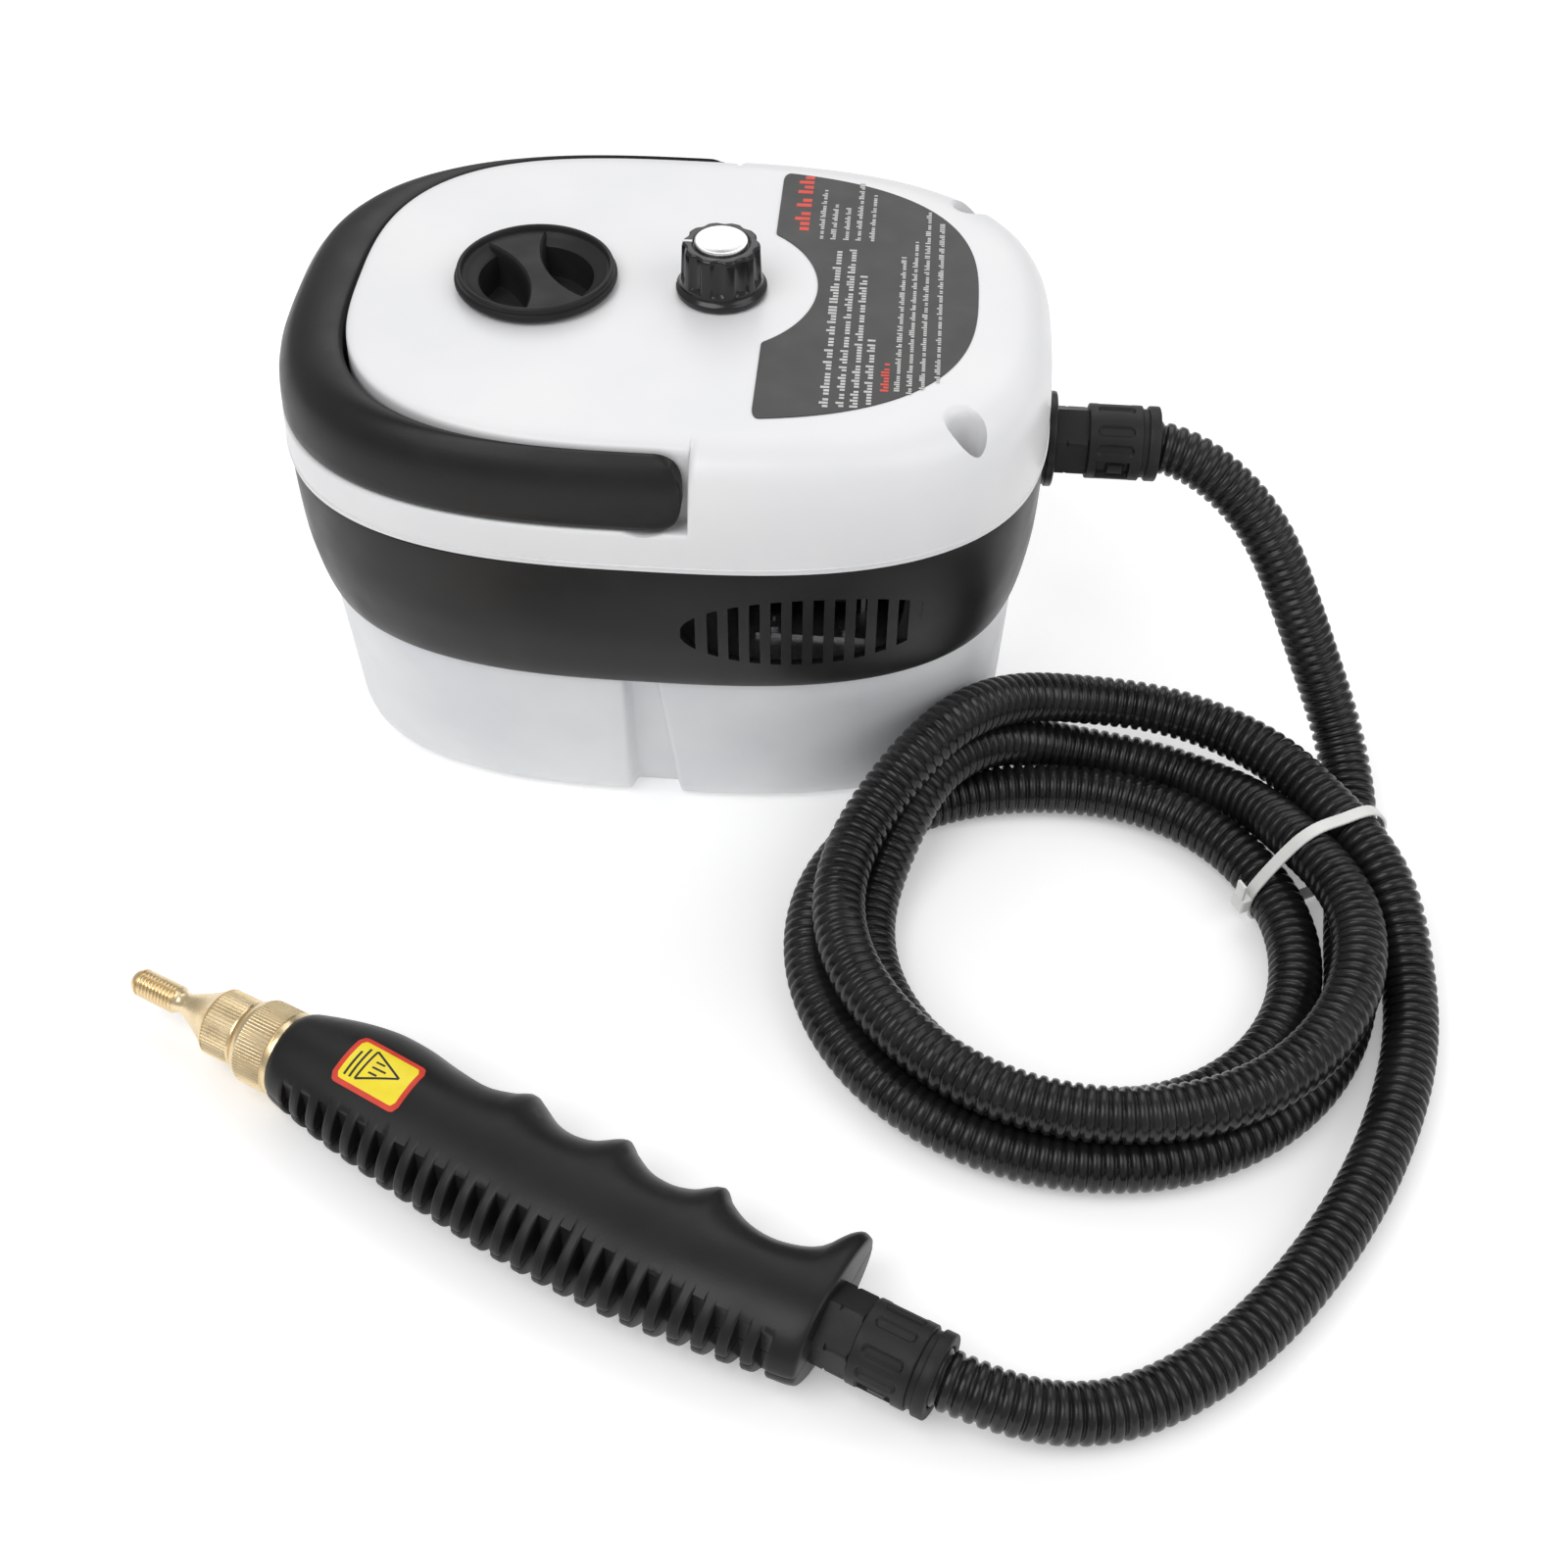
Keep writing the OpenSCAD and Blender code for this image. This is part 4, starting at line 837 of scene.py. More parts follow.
def make_outlet_plate():
    """The round plate that the hose gland sits on."""
    rows = [(-6, 16.2), (-2.9, 16.4), (-2.7, 17), (-0.8, 17), (-0.3, 16.8), (0, 16.2), (0, 15.2),
            (-0.35, 14.9),
            (-0.35, 9.0), (-6, 9.0)]
    plate = turned("outlet_plate", rows, 96, caps=(False, False))
    close_loop(plate, 35)
    lay_along(plate, OUTLET, 0)
    for vertex in plate.data.vertices:
        if vertex.co.x < 0.1344:
            vertex.co.z = min(vertex.co.z, 0.1296)
    return plate


TANK_PROFILE = [
    (0, 119, 71.5), (0.25, 121, 73.4), (1.2, 122.8, 75.1), (2.6, 124.1, 76.4), (4.4, 124.9, 77.4),
    (9, 125.6, 79),
    (22, 126, 81.3), (40, 126.6, 84.8), (58, 127.2, 88.5), (72.2, 127.7, 91.4), (73.4, 127.6, 91.3),
    (73.9, 125.4, 90.3), (79, 125.2, 90)]


def tank_ring(z, a, b):
    """A ring of the tank with the upright groove in its front."""
    share = min(max(z / 74, 0), 1)
    left = -10.8 + 2.3 * share
    right = 7.5 - 5.0 * share
    floor = -68 - 18 * share
    edge = [(-2.2, 0), (-1.4, 0.01), (-0.8, 0.05), (-0.3, 0.16), (0.2, 0.36), (0.6, 0.6), (1.0, 0.82),
            (1.5, 0.95), (2.1, 1.0)]
    columns = [(x, 0) for x in np.linspace(-30, left - 3, 9)]
    columns += [(left + x, f) for x, f in edge]
    columns += [(x, 1) for x in np.linspace(left + 2.6, right - 2.6, 6)]
    columns += [(right - x, f) for x, f in reversed(edge)]
    columns += [(x, 0) for x in np.linspace(right + 3, 30, 9)]
    xs = np.array([c[0] for c in columns])
    fs = np.array([c[1] for c in columns])
    ys = -outline_y(xs, a, b)
    if z > 73.6:
        fs = fs * 0
    ys = ys + fs * (np.maximum(floor, ys) - ys)
    front = np.stack([xs, ys], axis=1)
    around = superellipse(a, b, np.linspace(0, 2 * math.pi, 8001) - math.pi / 2)
    keep = (np.abs(around[:, 0]) > 30) | (around[:, 1] > 0)
    rest = resample(around[keep], 150)
    return np.column_stack([np.concatenate([front, rest[1:-1]]), np.full(len(front) + 148, z)])


def make_tank():
    rings = [tank_ring(*row) for row in TANK_PROFILE]
    tank = skin("water_tank_shell", rings, True, False)
    thicken(tank, 2.2)
    return tank


# ---- filler cap ----

def lens_outline(radius, centre, reach, count=36):
    """A finger hollow in plan: what a disc of the given radius shares with a larger offset disc."""
    cross = (radius**2 + centre**2 - reach**2) / (2 * centre)
    tall = math.sqrt(radius**2 - cross**2)
    outer_half = math.atan2(tall, cross)
    inner_half = math.asin(tall / reach)
    outer = [(radius * math.cos(t),
             radius * math.sin(t)) for t in np.linspace(-outer_half, outer_half, count)]
    inner = [(centre - reach * math.cos(t),
             reach * math.sin(t)) for t in np.linspace(inner_half, -inner_half, count)]
    return outer + inner[1:-1]


def hollow_cutter(side):
    """A hollow that is wide at the top and narrows to a floor with a rounded rim."""
    rings = []
    for z, radius, reach in ((163.2, 17.2, 35.6), (163.6, 18.2, 36.6), (165, 18.9, 37.2), (171, 19.4, 37.4),
                             (174.4, 19.8, 37.5), (175.0, 20.6, 37.6), (175.8, 22.4, 37.8),
                             (176.6, 23.5, 38.0),
                             (177.1, 24.1, 38.3), (177.4, 24.6, 38.7), (178.2, 24.9, 39.2)):
        rings.append([(side * x, side * y, z) for x, y in lens_outline(radius, 42, reach)])
    return skin("hollow", rings)


def make_filler_cap():
    rows = [(159, 20.6), (159.4, 21.2), (160, 21.4), (174.4, 21.4), (174.5, 27.3), (174.8, 27.8),
            (175.3, 28),
            (176, 28), (176.4, 27.8), (176.6, 27.3), (176.8, 27.0), (177.2, 27.1), (178.4, 27.1),
            (178.9, 26.9),
            (179.2, 26.5), (179.3, 26.0), (179.2, 25.6), (178.8, 25.3), (177.9, 25.1), (177.6, 25.0)]
    cap = turned("filler_cap_body", rows, 144)
    for side in (-1, 1):
        cut(cap, hollow_cutter(side))
    turn = Matrix.Rotation(math.radians(26), 4, "Z")
    cap.data.transform(Matrix.Translation((FILLER_X * MM, 0, 0)) @ turn)
    return cap


# ---- control knob ----

def knob_radius(angles, z, radius):
    """The fluted outline of the knob's body."""
    share = min(max((z - 178.5) / 0.8, 0), 1)
    if share <= 0 or radius < 11:
        return radius
    pitch = 2 * math.pi / 10
    away = np.abs((angles % pitch) - pitch / 2)
    reach = 17.2
    bore = 4.6
    inside = np.clip(bore**2 - (reach * np.sin(away)) ** 2, 0, None)
    flute = np.where(inside > 0, reach * np.cos(away) - np.sqrt(inside), 99)
    flute = np.minimum(flute + (radius - 13.9) * 0.6, 99)
    blend = 0.5
    lower = np.minimum(radius, flute)
    gap = np.abs(radius - flute)
    lower = lower - np.clip(blend - gap, 0, None) ** 2 / (4 * blend)
    return radius + (lower - radius) * share


def make_knob():
    rows = [(173.8, 15.2), (173.95, 15.6), (174.3, 15.7), (175.4, 15.7), (175.8, 15.55), (176.1, 15.2),
            (176.5, 14.7), (176.9, 14.35), (177.4, 14.1), (178.0, 13.95), (178.5, 13.9), (178.7, 13.9),
            (178.9, 13.88), (179.3, 13.85), (182, 13.7), (185, 13.55), (188, 13.4), (190.2, 13.3),
            (190.9, 13.15),
            (191.4, 12.8), (191.65, 12.3), (191.7, 11.7), (191.7, 10.4), (191.6, 9.9), (191.3, 9.6),
            (190.9, 9.4)]
    return turned("knob_body", rows, 300, (KNOB_X, 0), knob_radius, 40)


def make_knob_disc():
    rows = [(190.9, 9.1), (192.2, 9.1), (192.6, 8.95), (192.8, 8.5), (192.8, 8.3), (192.72, 8.0),
            (192.6, 4), (192.5, 0.4)]
    return turned("knob_face_disc", rows, 96, (KNOB_X, 0))


def make_pointer():
    """The white index line: over the knob's top, and on its skirt."""
    top = prism("top", [(-13.15, -0.55), (-9.7, -0.55), (-9.7, 0.55), (-13.15, 0.55)], 191.4, 191.85)
    skirt = prism("skirt", [(-15.78, -0.5), (-14.4, -0.5), (-14.4, 0.5), (-15.78, 0.5)], 174.6, 175.95)
    for piece in (top, skirt):
        soften(piece, 0.12, 2)
    pointer = join("knob_pointer", [top, skirt])
    pointer.data.transform(Matrix.Translation((KNOB_X * MM, 0, 0)))
    return pointer


# ---- label ----

LABEL_SHIFT = 3.3
# Printed rows as (x, from y, to y, height, colour)
LABEL_PRINT = [
    (42.6, 40, 77.5, 5.4, "red"), (49.8, 35, 68.4, 1.9, "white"), (54.2, 35, 59.3, 1.9, "white"),
    (58.8, 35, 57.8, 1.9, "white"), (63.1, 35, 74, 1.9, "white"), (67.9, 35, 66, 1.9, "white"),
    (56.6, -64.5, 30, 2.9, "white"), (61.8, -64, 29.7, 2.6, "white"), (66.3, -64, 14, 2.6, "white"),
    (70.6, -62, -25.4, 2.6, "white"), (75.8, -54.5, -38.4, 2.7, "red"), (79.8, -54, 25.9, 1.8, "white"),
    (83.8, -55, 36, 1.8, "white"), (87.9, -52, 56, 1.8, "white"), (92.8, -47.8, 50, 1.8, "white")]


def make_label():
    a, b = 106, 77
    count = 90
    end = math.acos((34 / a) ** 1.35)
    edge = resample(superellipse(a, b, np.linspace(-end, end, 1501), 2.7), count)
    half = math.acos((34 - 8.8) / 42)
    bite = [(8.8 + 42 * math.cos(u), 42 * math.sin(u)) for u in np.linspace(half, -half, 40)]
    outline = [tuple(p) for p in edge] + bite
    corners = {0: 5.5, count - 1: 5.5, count: 1.2, count + 39: 1.2}
    mesh = bpy.data.meshes.new("label_film")
    bm = bmesh.new()
    verts = [bm.verts.new((x * MM, (y + LABEL_SHIFT) * MM, TOP_Z * MM)) for x, y in outline]
    bm.faces.new(verts)
    for index, offset in corners.items():
        bmesh.ops.bevel(bm, geom=[verts[index]], offset=offset * MM, segments=6, affect="VERTICES",
                        profile=0.5)
    bm.to_mesh(mesh)
    bm.free()
    label = fresh_object("label_film", mesh)
    modifier = label.modifiers.new("film", "SOLIDIFY")
    modifier.thickness = 0.4 * MM
    modifier.offset = 1
    apply_modifiers(label)
    return label


def print_row(x, y0, y1, height, draw):
    """Boxes in word-like groups; they stand for print and cannot be read."""
    boxes = []
    y = y0
    left = draw.randint(2, 8)
    while y + 0.4 * height < y1:
        tall = height * draw.choice((0.62, 0.62, 1.0))
        boxes.append((x + height / 2 - tall, x + height / 2, y, y + 0.4 * height))
        left -= 1
        y += 0.62 * height
        if left == 0:
            y += 0.45 * height
            left = draw.randint(2, 8)
    return boxes


def make_print(colour):
    draw = random.Random(7)
    boxes = []
    for x, y0, y1, height, shade_name in LABEL_PRINT:
        row = print_row(x, y0, y1, height, draw)
        if shade_name == colour:
            boxes += row
    points = []
    faces = []
    for x0, x1, ya, yb in boxes:
        base = len(points)
        points += [(x, y, z) for z in (TOP_Z + 0.38, TOP_Z + 0.46)
                   for x, y in ((x0, ya), (x1, ya), (x1, yb), (x0, yb))]
        faces += [tuple(base + i for i in f) for f in
                  ((3, 2, 1, 0), (4, 5, 6, 7), (0, 1, 5, 4), (1, 2, 6, 5), (2, 3, 7, 6), (3, 0, 4, 7))]
    return build("label_print_" + colour, points, faces)


# ---- hose glands ----

WINDOW_AT = 73
SLOTS_AT = [4, 34, 112, 142, 184, 214, 292, 322]


def round_the_sleeve(turn, at):
    """Millimetres along the sleeve's surface from the place at the given degrees."""
    return (((turn - at + 180) % 360) - 180) * math.pi / 180 * 13.35


def hexagon(angles, z, radius):
    apothem = 11.26
    away = (np.degrees(angles) % 60) - 30
    flats = apothem / np.cos(np.radians(away))
    return np.minimum(radius, flats) if radius > 11 else radius


def sleeve_radius(angles, z, radius):
    """The sleeve's outside with its grip slots, and a window with a latch on both sides."""
    if radius < 12.5 or not 13 < z < 29.6:
        return radius
    turn = (np.degrees(-angles) + 180) % 360
    out = radius
    for at in SLOTS_AT:
        distance = np.hypot(round_the_sleeve(turn, at), max(abs(z - 21.2) - 4.6, 0))
        out = out - 0.95 * np.clip((2.1 - distance) / 0.7, 0, 1)
    for at in (WINDOW_AT, WINDOW_AT + 180):
        across = np.abs(round_the_sleeve(turn, at))
        inside = np.clip((4.6 - across) / 0.35, 0, 1) * min(max((5.8 - abs(z - 20.8)) / 0.35, 0), 1)
        latch = np.clip((2.6 - across) / 0.4, 0, 1) * min(max((3.2 - abs(z - 21.6)) / 0.5, 0), 1)
        out = out - (2.0 * inside - 1.3 * inside * latch)
    return out


def make_gland(prefix, origin, angle):
    body_rows = [(0, 13.6), (0.25, 14.1), (0.6, 14.3), (3.2, 14.3), (3.6, 14.1), (3.8, 13.6),
                 (3.81, 12.3),
                 (4.3, 12.6), (4.9, 13.2), (10.6, 13.2), (11.2, 12.6), (11.5, 12.2), (11.5, 7.2),
                 (-17.6, 7.2),
                 (-18, 7.6), (-18, 8.4), (-17.6, 8.8), (0, 8.8)]
    body = turned(prefix + "_body", body_rows, 192, radius_at=hexagon, caps=(False, False), sharp=25)
    close_loop(body)
    steps = [(z, 13.35) for z in np.arange(12.4, 30.3, 0.35)]
    sleeve_rows = [(11.55, 12.6), (11.7, 13.1), (12.05, 13.35), *steps, (30.5, 13.25), (30.75, 12.9),
                   (30.8, 12.2),
                   (32.8, 12.2), (32.85, 12.9), (33.1, 13.25), (33.4, 13.35), (36.4, 13.35),
                   (36.75, 13.2),
                   (37, 12.8), (37, 10.2), (36.6, 9.65), (30, 9.6), (30, 7.2), (11.55, 7.2)]
    sleeve = turned(prefix + "_sleeve", sleeve_rows, 216, radius_at=sleeve_radius, caps=(False, False),
                    sharp=28)
    close_loop(sleeve)
    for piece in (body, sleeve):
        lay_along(piece, origin, angle)
    return body, sleeve


def make_cord_bush():
    """The empty strain-relief bush on the back, with its flexing ribs."""
    rows = [(-9, 7.6), (-8.6, 8), (1.4, 8), (1.5, 10.6), (1.8, 11), (3.6, 11), (4, 10.6), (4.1, 8.2)]
    for i in range(5):
        z = 4.6 + 2.2 * i
        r = 7.9 - 0.34 * i
        rows += [(z, r), (z + 0.2, r + 0.2), (z + 1.1, r + 0.1), (z + 1.3, r - 0.1),
                 (z + 1.4, r - 1.2), (z + 2.0, r - 1.2)]
    rows += [(15.4, 6.2), (15.9, 5.8), (15.9, 4.7), (15.5, 4.6), (-9, 4.6)]
    bush = turned("cord_bush_relief", rows, 72, caps=(False, False))
    close_loop(bush)
    turn = Matrix.Rotation(math.radians(-90), 4, "X")
    bush.data.transform(Matrix.Translation((0.040, 0.0974, 0.100)) @ turn)
    return bush


# ---- steam gun ----

GRIP_STATIONS = [
    (0, 14.2, 14.2, 14.2), (0.5, 15, 15, 14.9), (2.5, 16.3, 16, 15.6), (15, 20.5, 19, 16.2),
    (28, 22.8, 21.6, 16.5),
    (41, 22.3, 23.6, 16.5), (54, 20, 25.4, 16.5), (66, 19, 26.8, 16.5), (75, 21.5, 27.7, 16.5),
    (80, 24.2, 28.2, 16.5), (84, 22.5, 28.5, 16.5), (93, 17.8, 29.2, 16.5), (100, 16.7, 29.6, 16.5),
    (107, 18.4, 30, 16.5), (115, 24, 30.2, 16.5), (120, 20.8, 30.2, 16.5), (128, 16.8, 30.1, 16.5),
    (136, 16, 29.8, 16.5), (143, 18.2, 29.4, 16.5), (150, 23.6, 28.8, 16.5), (155, 19.6, 28.2, 16.5),
    (163, 15.6, 27.2, 16.5), (172, 14.4, 26, 16.5), (181, 16.6, 24.6, 16.5), (187, 20.6, 23.6, 16.5),
    (191.5, 28.4, 23, 16.5), (194.5, 31, 22.6, 16.5), (197.2, 30.2, 21.8, 16.2),
    (197.8, 29.2, 21, 15.4),
    (198, 27.6, 19.6, 14.2)]
GRIP = dense(GRIP_STATIONS, 14)


def grip_at(x):
    return [np.interp(x, GRIP[:, 0], GRIP[:, k]) for k in (1, 2, 3)]


def grip_rows():
    """Rows along the handle as (x, slot depth or None, how much the rib's edge is eased)."""
    rows = [(x, None, 0) for x in (0, 0.12, 0.3, 0.5, 1.2, 2.5, 4, 5.6)]
    for i in range(24):
        start = 8.7 + 7.66 * i
        depth = min(17.5, 14.3 + 0.4 * i)
        rows += [(start - 1.4, None, 0), (start - 0.9, None, 0), (start - 0.45, None, 0.14),
                 (start - 0.12, None, 0.5),
                 (start, None, 0.95), (start + 0.02, depth, 0), (start + 1.9, depth, 0),
                 (start + 3.78, depth, 0),
                 (start + 3.8, None, 0.95), (start + 3.92, None, 0.5), (start + 4.25, None, 0.14),
                 (start + 4.7, None, 0), (start + 5.4, None, 0)]
    rows += [(x, None, 0) for x in (191.8, 193, 194, 194.8, 195.6, 196.4, 197.2, 197.5, 197.8, 197.92, 198)]
    return sorted(rows)


def half_section(x, depth, ease, up, count=34):
    """Half of the handle's cross-section, above or below its parting line."""
    finger, rib, half = grip_at(x)
    seam = 0.18
    points = []
    limit = depth if depth else min(17.5, 14.3 + 0.4 * max((x - 8.7) / 7.66, 0))
    for t in np.linspace(0, math.pi, count):
        c = math.cos(t)
        s = math.sin(t)
        y = (finger if c > 0 else rib) * c
        z = half * s
        if depth and y < -depth:
            y = -depth - 0.0006 * (-depth - y)
        elif ease and y < -limit:
            y = -limit + (y + limit) * (1 - ease / max(rib - limit, 1))
            z *= 1 - ease / half
        points.append((x, y, max(z, seam)))
    lip = 0.35
    points[0] = (x, points[0][1] - lip, seam)
    points[-1] = (x, points[-1][1] + (0 if depth else lip), seam)
    points = np.array(points)
    points[:, 2] *= up
    return points


def make_grip_half(name, up):
    rings = [half_section(*row, up) for row in grip_rows()]
    shell = skin(name, rings, sharp=38)
    place_on_gun(shell)
    return shell


def place_on_gun(obj):
    plan = Matrix.Rotation(math.radians(GUN_ANGLE), 4, "Z")
    obj.data.transform(Matrix.Translation(Vector(GUN_ORIGIN) * MM) @ plan)


def knurled(angles, depth, teeth=80):
    """Straight axial knurling."""
    wave = np.abs(((angles * teeth / (2 * math.pi)) % 1) - 0.5) * 2
    return depth * np.clip(1.3 * wave, 0, 1)


def collar_radius(angles, z, radius):
    return radius - knurled(angles, 0.42) if 2.9 <= z <= 13.3 else radius


def make_collar():
    """The fixed brass collar at the front of the handle."""
    rows = [(10, 8.6), (-0.2, 8.6), (-0.2, 14.0), (0.2, 14.45), (0.6, 14.5), (1.6, 14.5),
            (1.9, 14.1), (2.2, 14.1),
            (2.5, 14.5), (3.0, 14.5), (13.2, 14.5), (13.6, 14.2), (13.9, 13.9), (14.6, 13.7),
            (16.4, 12.7), (16.7, 12.3),
            (16.7, 8.2), (16.5, 8), (2, 8)]
    collar = turned("brass_collar", rows, 480, radius_at=collar_radius, sharp=28)
    turn_outwards(collar, 0)
    return collar


def turn_outwards(obj, start):
    """Lays a body built along +Z forwards along the gun's -X, from the given place."""
    turn = Matrix.Rotation(math.radians(-90), 4, "Y")
    shift = Matrix.Translation((-start * MM, 0, 0))
    plan = Matrix.Rotation(math.radians(GUN_ANGLE), 4, "Z")
    obj.data.transform(Matrix.Translation(Vector(GUN_ORIGIN) * MM) @ plan @ shift @ turn)


THREAD_START = 29.4
THREAD_END = 45.8
THREAD_PITCH = 1.42


def nozzle_radius(angles, z, radius):
    """The knurled barrel and the raised helix of the tip's thread."""
    if 1.2 <= z <= 11.7:
        return radius - knurled(angles, 0.36, 64)
    if not THREAD_START <= z <= THREAD_END:
        return radius
    wave = ((z - THREAD_START) / THREAD_PITCH - angles / (2 * math.pi)) % 1
    ridge = np.clip(1.5 * (1 - np.abs(wave - 0.5) * 2), 0, 1)
    fade = min((z - THREAD_START) / 1.2, (THREAD_END - z) / 1.6, 1)
    return radius - 0.85 * (1 - ridge * fade)


def make_nozzle():
    rows = [(-6.3, 7.4), (0, 7.4), (0, 10.9), (0.5, 11.5), (0.8, 11.6), (1.19, 11.6), (1.2, 11.6),
            (11.7, 11.6),
            (11.71, 11.6), (12.2, 11.5), (12.8, 11.0), (13.3, 10.6), (16, 8.9), (19, 7.2), (22, 5.8),
            (24.5, 4.7),
            (26, 4.0), (27, 3.65), (28.6, 3.6), (29.2, 3.8)]
    rows += [(z, 4.85) for z in np.arange(THREAD_START, THREAD_END + 0.01, THREAD_PITCH / 9)]
    rows += [(46, 4.2), (46.8, 4.1), (47.6, 3.8), (48.3, 3.3), (48.7, 2.6), (48.8, 2.1),
             (48.75, 1.5), (48.5, 1.2), (40, 1.2)]
    nozzle = turned("brass_nozzle", rows, 384, radius_at=nozzle_radius, sharp=30)
    turn_outwards(nozzle, 17.5)
    return nozzle


def grip_surface(x, y, lift):
    finger, rib, half = grip_at(x)
    width = np.where(np.asarray(y) > 0, finger, rib)
    return half * np.sqrt(1 - (y / width) ** 2) + lift


def sticker_sheet(name, x0, x1, y0, y1, skew, lift, corner):
    """A thin rounded sheet lying on the handle's upper surface."""
    columns = 22
    rings = []
    for u in np.linspace(0, 1, 26):
        x = x0 + (x1 - x0) * u
        edge = min(x - x0, x1 - x)
        pull = corner - math.sqrt(max(corner**2 - max(corner - edge, 0) ** 2, 0))
        drift = skew * (u - 0.5)
        ys = np.linspace(y0 + pull, y1 - pull, columns) + drift
        xs = np.full(columns, x)
        top = grip_surface(xs, ys, lift)
        low = grip_surface(xs, ys, 0.02)
        rings.append([*zip(xs, ys, top), *zip(xs[::-1], ys[::-1], low[::-1])])
    sheet = skin(name, rings, sharp=50)
    place_on_gun(sheet)
    return sheet


def sticker_stroke(path, width, lift):
    """A printed line on the sticker, following the handle's surface."""
    path = np.array(path, dtype=float)
    path = resample(path, max(int(length_of(path) / 0.8), 3))
    direction = np.gradient(path, axis=0)
    direction /= np.linalg.norm(direction, axis=1)[:, None]
    normal = np.stack([-direction[:, 1], direction[:, 0]], axis=1)
    low = lift - 0.08
    rings = []
    for a, b in zip(path + normal * width / 2, path - normal * width / 2):
        corners = ((a, lift), (b, lift), (b, low), (a, low))
        rings.append([(*point, float(grip_surface(*point, height))) for point, height in corners])
    stroke = skin("stroke", rings)
    place_on_gun(stroke)
    return stroke


def make_sticker():
    """A red-edged yellow patch with a plain triangle and bars."""
    border = sticker_sheet("sticker_border", 23.5, 50.0, -9.4, 9.6, -1.4, 0.16, 2.6)
    field = sticker_sheet("sticker_field", 25.3, 48.2, -7.7, 7.9, -1.2, 0.24, 1.6)
    corners = [(44.2, 0.9), (32.0, 6.6), (31.6, -5.4), (44.2, 0.9)]
    triangle = [sticker_stroke([corners[i], corners[i + 1]], 0.75, 0.31) for i in range(3)]
    marks = [sticker_stroke([(34.2, y),
             (39.4 - abs(y - 0.7) * 0.9, y)], 0.7, 0.31) for y in (-1.6, 0.6, 2.8)]
    bars = [sticker_stroke([(x, -5.6), (x, 6.4 - extra)], 0.8, 0.31) for x, extra in ((29.6, 0),
            (27.6, 2.2))]
    return border, field, join("sticker_marks", triangle + marks + bars)


# ---- making and dressing the pieces ----

dress(make_top_cover(), WHITE_ABS, MAIN, ["top_cover"])
dress(make_handle(), BLACK_ABS, "carry_handle", ["carry_handle"])
dress(make_band(), BLACK_ABS, MAIN, ["mid_band"])
dress(make_outlet_plate(), BLACK_ABS)
dress(make_tank(), TANK, MAIN, ["water_tank"])
dress(make_filler_cap(), BLACK_MATTE, "filler_cap", ["filler_cap"])
dress(make_knob(), BLACK_GLOSS, "control_knob", ["knob"])
dress(make_knob_disc(), TURNED, "control_knob", ["knob_disc"])
dress(make_pointer(), WHITE_PAINT, "control_knob")
dress(make_label(), LABEL_FILM, MAIN, ["label_panel"])
dress(make_print("white"), PRINT_WHITE)
dress(make_print("red"), PRINT_RED)
for gland, origin, angle in (("body_gland", OUTLET, 0), ("gun_gland", gun_point(GRIP_L), GUN_ANGLE)):
    gland_body, gland_sleeve = make_gland(gland, origin, angle)
    dress(gland_body, BLACK_MATTE, MAIN, [gland])
    dress(gland_sleeve, BLACK_MATTE, MAIN, [gland + "_sleeve"])
dress(make_cord_bush(), RUBBER, MAIN, ["power_cord_bush"])
dress(make_grip_half("gun_handle_upper", 1), BLACK_ABS, MAIN, ["gun_shell_upper"])
dress(make_grip_half("gun_handle_lower", -1), BLACK_ABS, MAIN, ["gun_shell_lower"])
dress(make_collar(), BRASS, MAIN, ["nozzle_collar"])
dress(make_nozzle(), BRASS, "nozzle", ["nozzle"])
sticker_border, sticker_field, sticker_marks = make_sticker()
dress(sticker_border, PRINT_RED, MAIN, ["gun_sticker"])
dress(sticker_field, PRINT_YELLOW)
dress(sticker_marks, PRINT_BLACK)


# ---- CAD parts that stay ----

WIRE_JACKET = plastic("wire_jacket", (0.10, 0.16, 0.55), (0.35, 0.18, 0.06), (0.4, 0.5), 60, 1200, 0.05)

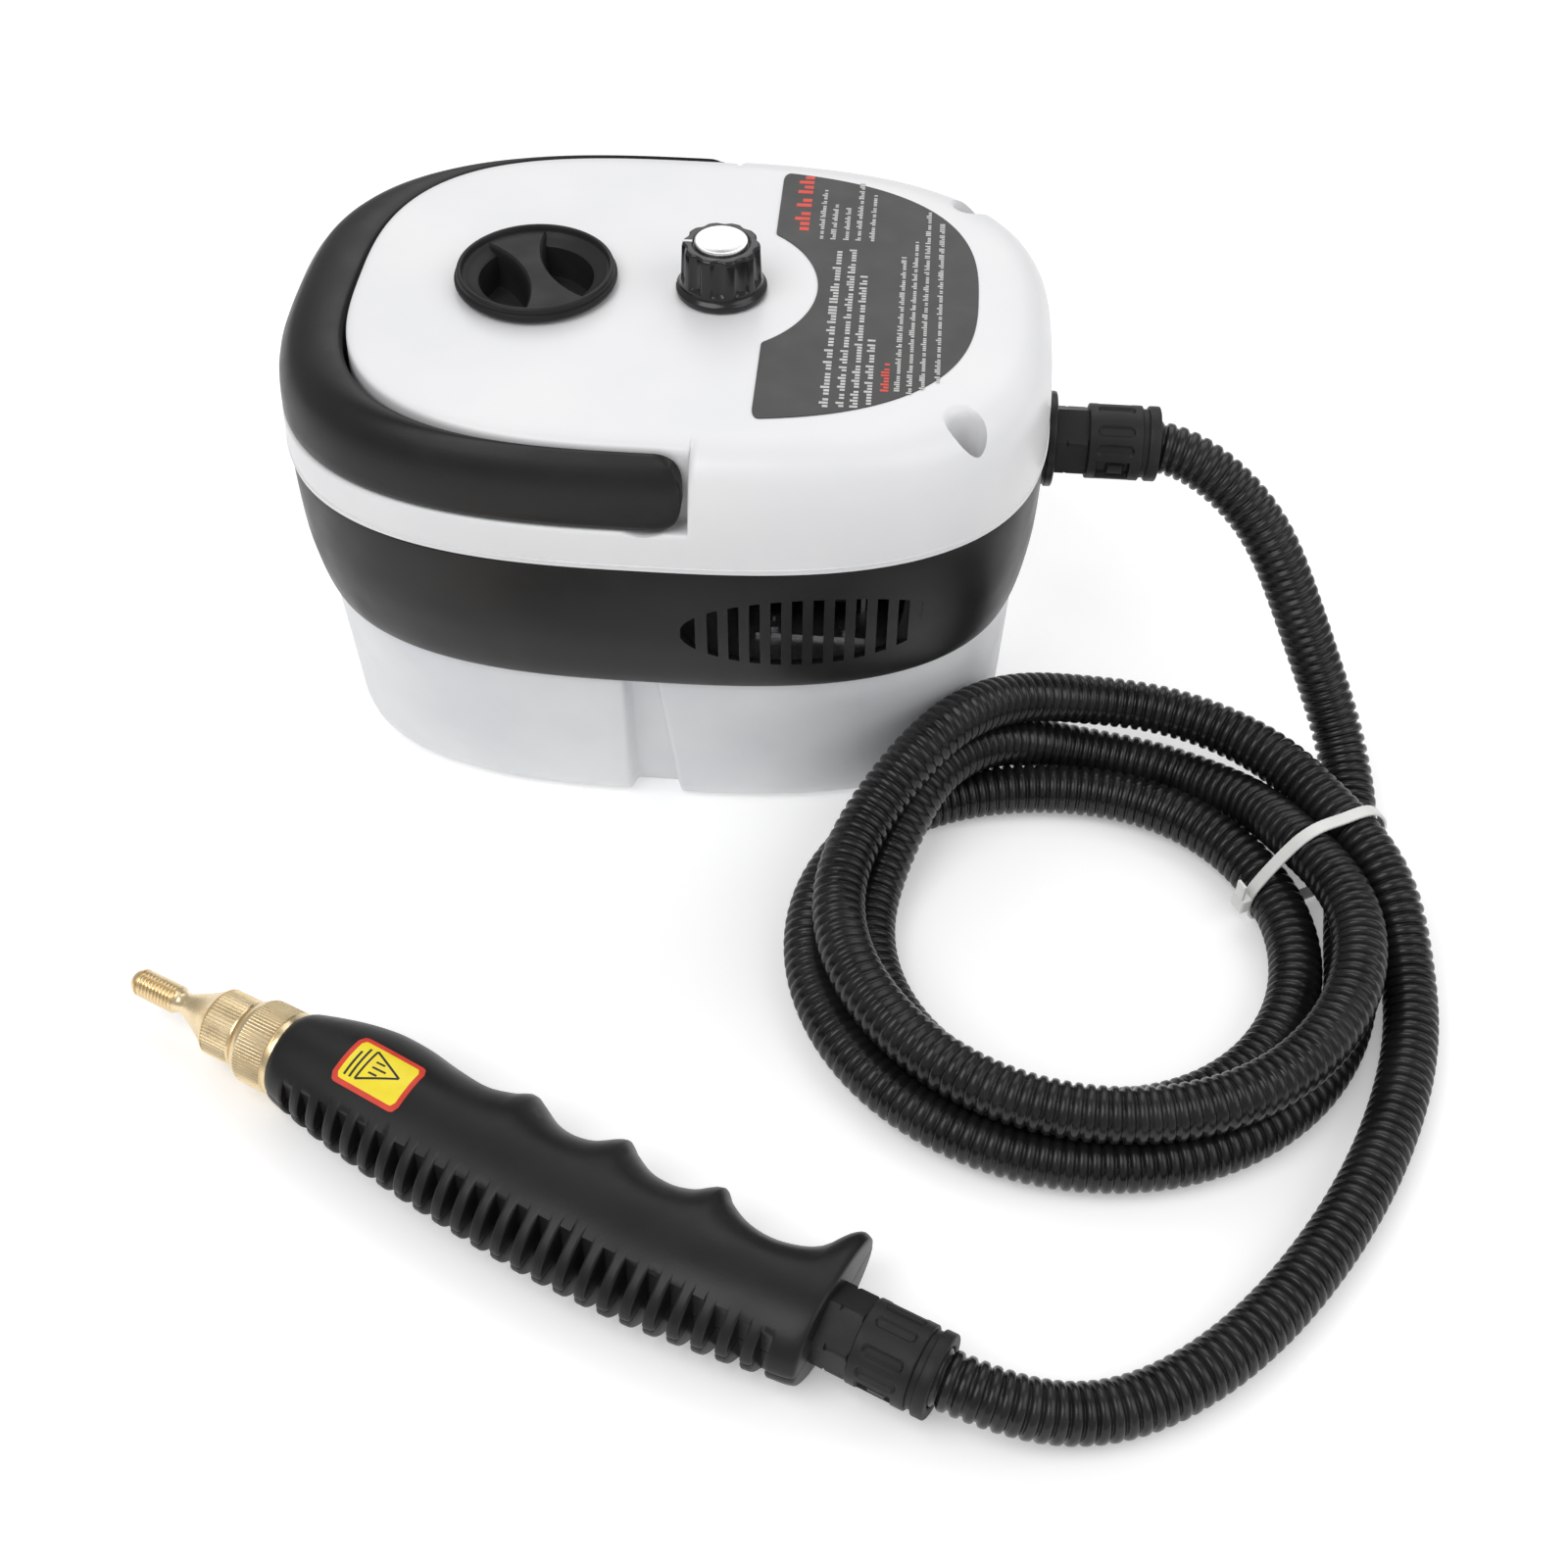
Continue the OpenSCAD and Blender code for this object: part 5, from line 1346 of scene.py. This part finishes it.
KEPT = {
    RUBBER: ["tank_gasket"],
    SILICONE: ["cap_seal", "nozzle_seal"],
    ALUMINIUM: ["heating_block", "deck_plate"],
    STEEL: ["deck_screws", "cover_screws", "handle_pin_front", "handle_pin_rear", "control_shaft",
            "pot_nut", "board_screws", "heater_bracket", "heater_terminals", "pump_bracket",
            "bracket_screws", "gun_screws"],
    BRASS: ["gun_steam_tube", "thermal_fuse"],
    WHITE_NYLON: ["filler_neck", "board_spacers", "thermostat", "terminal_block", "suction_tube",
                  "pump_outlet_tube", "steam_tube"],
    GREY_PLASTIC: ["control_pot", "water_pump", "suction_filter"],
    BLACK_MATTE: ["body_gland_locknut", "gun_gland_locknut"],
    board_material(): ["control_board"],
    WIRE_JACKET: ["wire_harness"],
}

for material, names in KEPT.items():
    for name in names:
        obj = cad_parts[name]
        if not obj.material_slots:
            obj.data.materials.append(material)
        for material_slot in obj.material_slots:
            material_slot.material = material


# ---- room ----

def add_floor():
    mesh = bpy.data.meshes.new("floor")
    size = 6.0
    corners = [(-size, -size, 0), (size, -size, 0), (size, size, 0), (-size, size, 0)]
    mesh.from_pydata(corners, [], [(0, 1, 2, 3)])
    floor = fresh_object("floor", mesh)
    floor.location.z = -0.0004
    floor.data.materials.append(plastic("paper", grey(0.93), grey(0.91), (0.7, 0.8), 3, 60, 0.0,
                                      Emission_Color=(1, 1, 1, 1), Emission_Strength=0.25))


def add_light(name, location, target, size, power):
    data = bpy.data.lights.new(name, "AREA")
    data.shape = "SQUARE"
    data.size = size
    data.energy = power
    light = bpy.data.objects.new(name, data)
    light.location = location
    light.rotation_euler = (Vector(target) - Vector(location)).to_track_quat("-Z", "Y").to_euler()
    bpy.context.scene.collection.objects.link(light)


def add_world():
    world = bpy.data.worlds.new("studio")
    world.use_nodes = True
    background = world.node_tree.nodes["Background"]
    background.inputs["Color"].default_value = (1.0, 1.0, 1.0, 1)
    background.inputs["Strength"].default_value = 0.45
    bpy.context.scene.world = world


add_floor()
add_world()
add_light("key", (-0.55, -0.75, 1.5), (0.05, -0.1, 0.05), 1.1, 11.5)
add_light("fill", (1.2, -0.5, 1.1), (0.05, -0.1, 0.05), 1.2, 6.5)
add_light("rim", (0.1, 1.1, 1.3), (0.05, 0, 0.1), 1.4, 8)
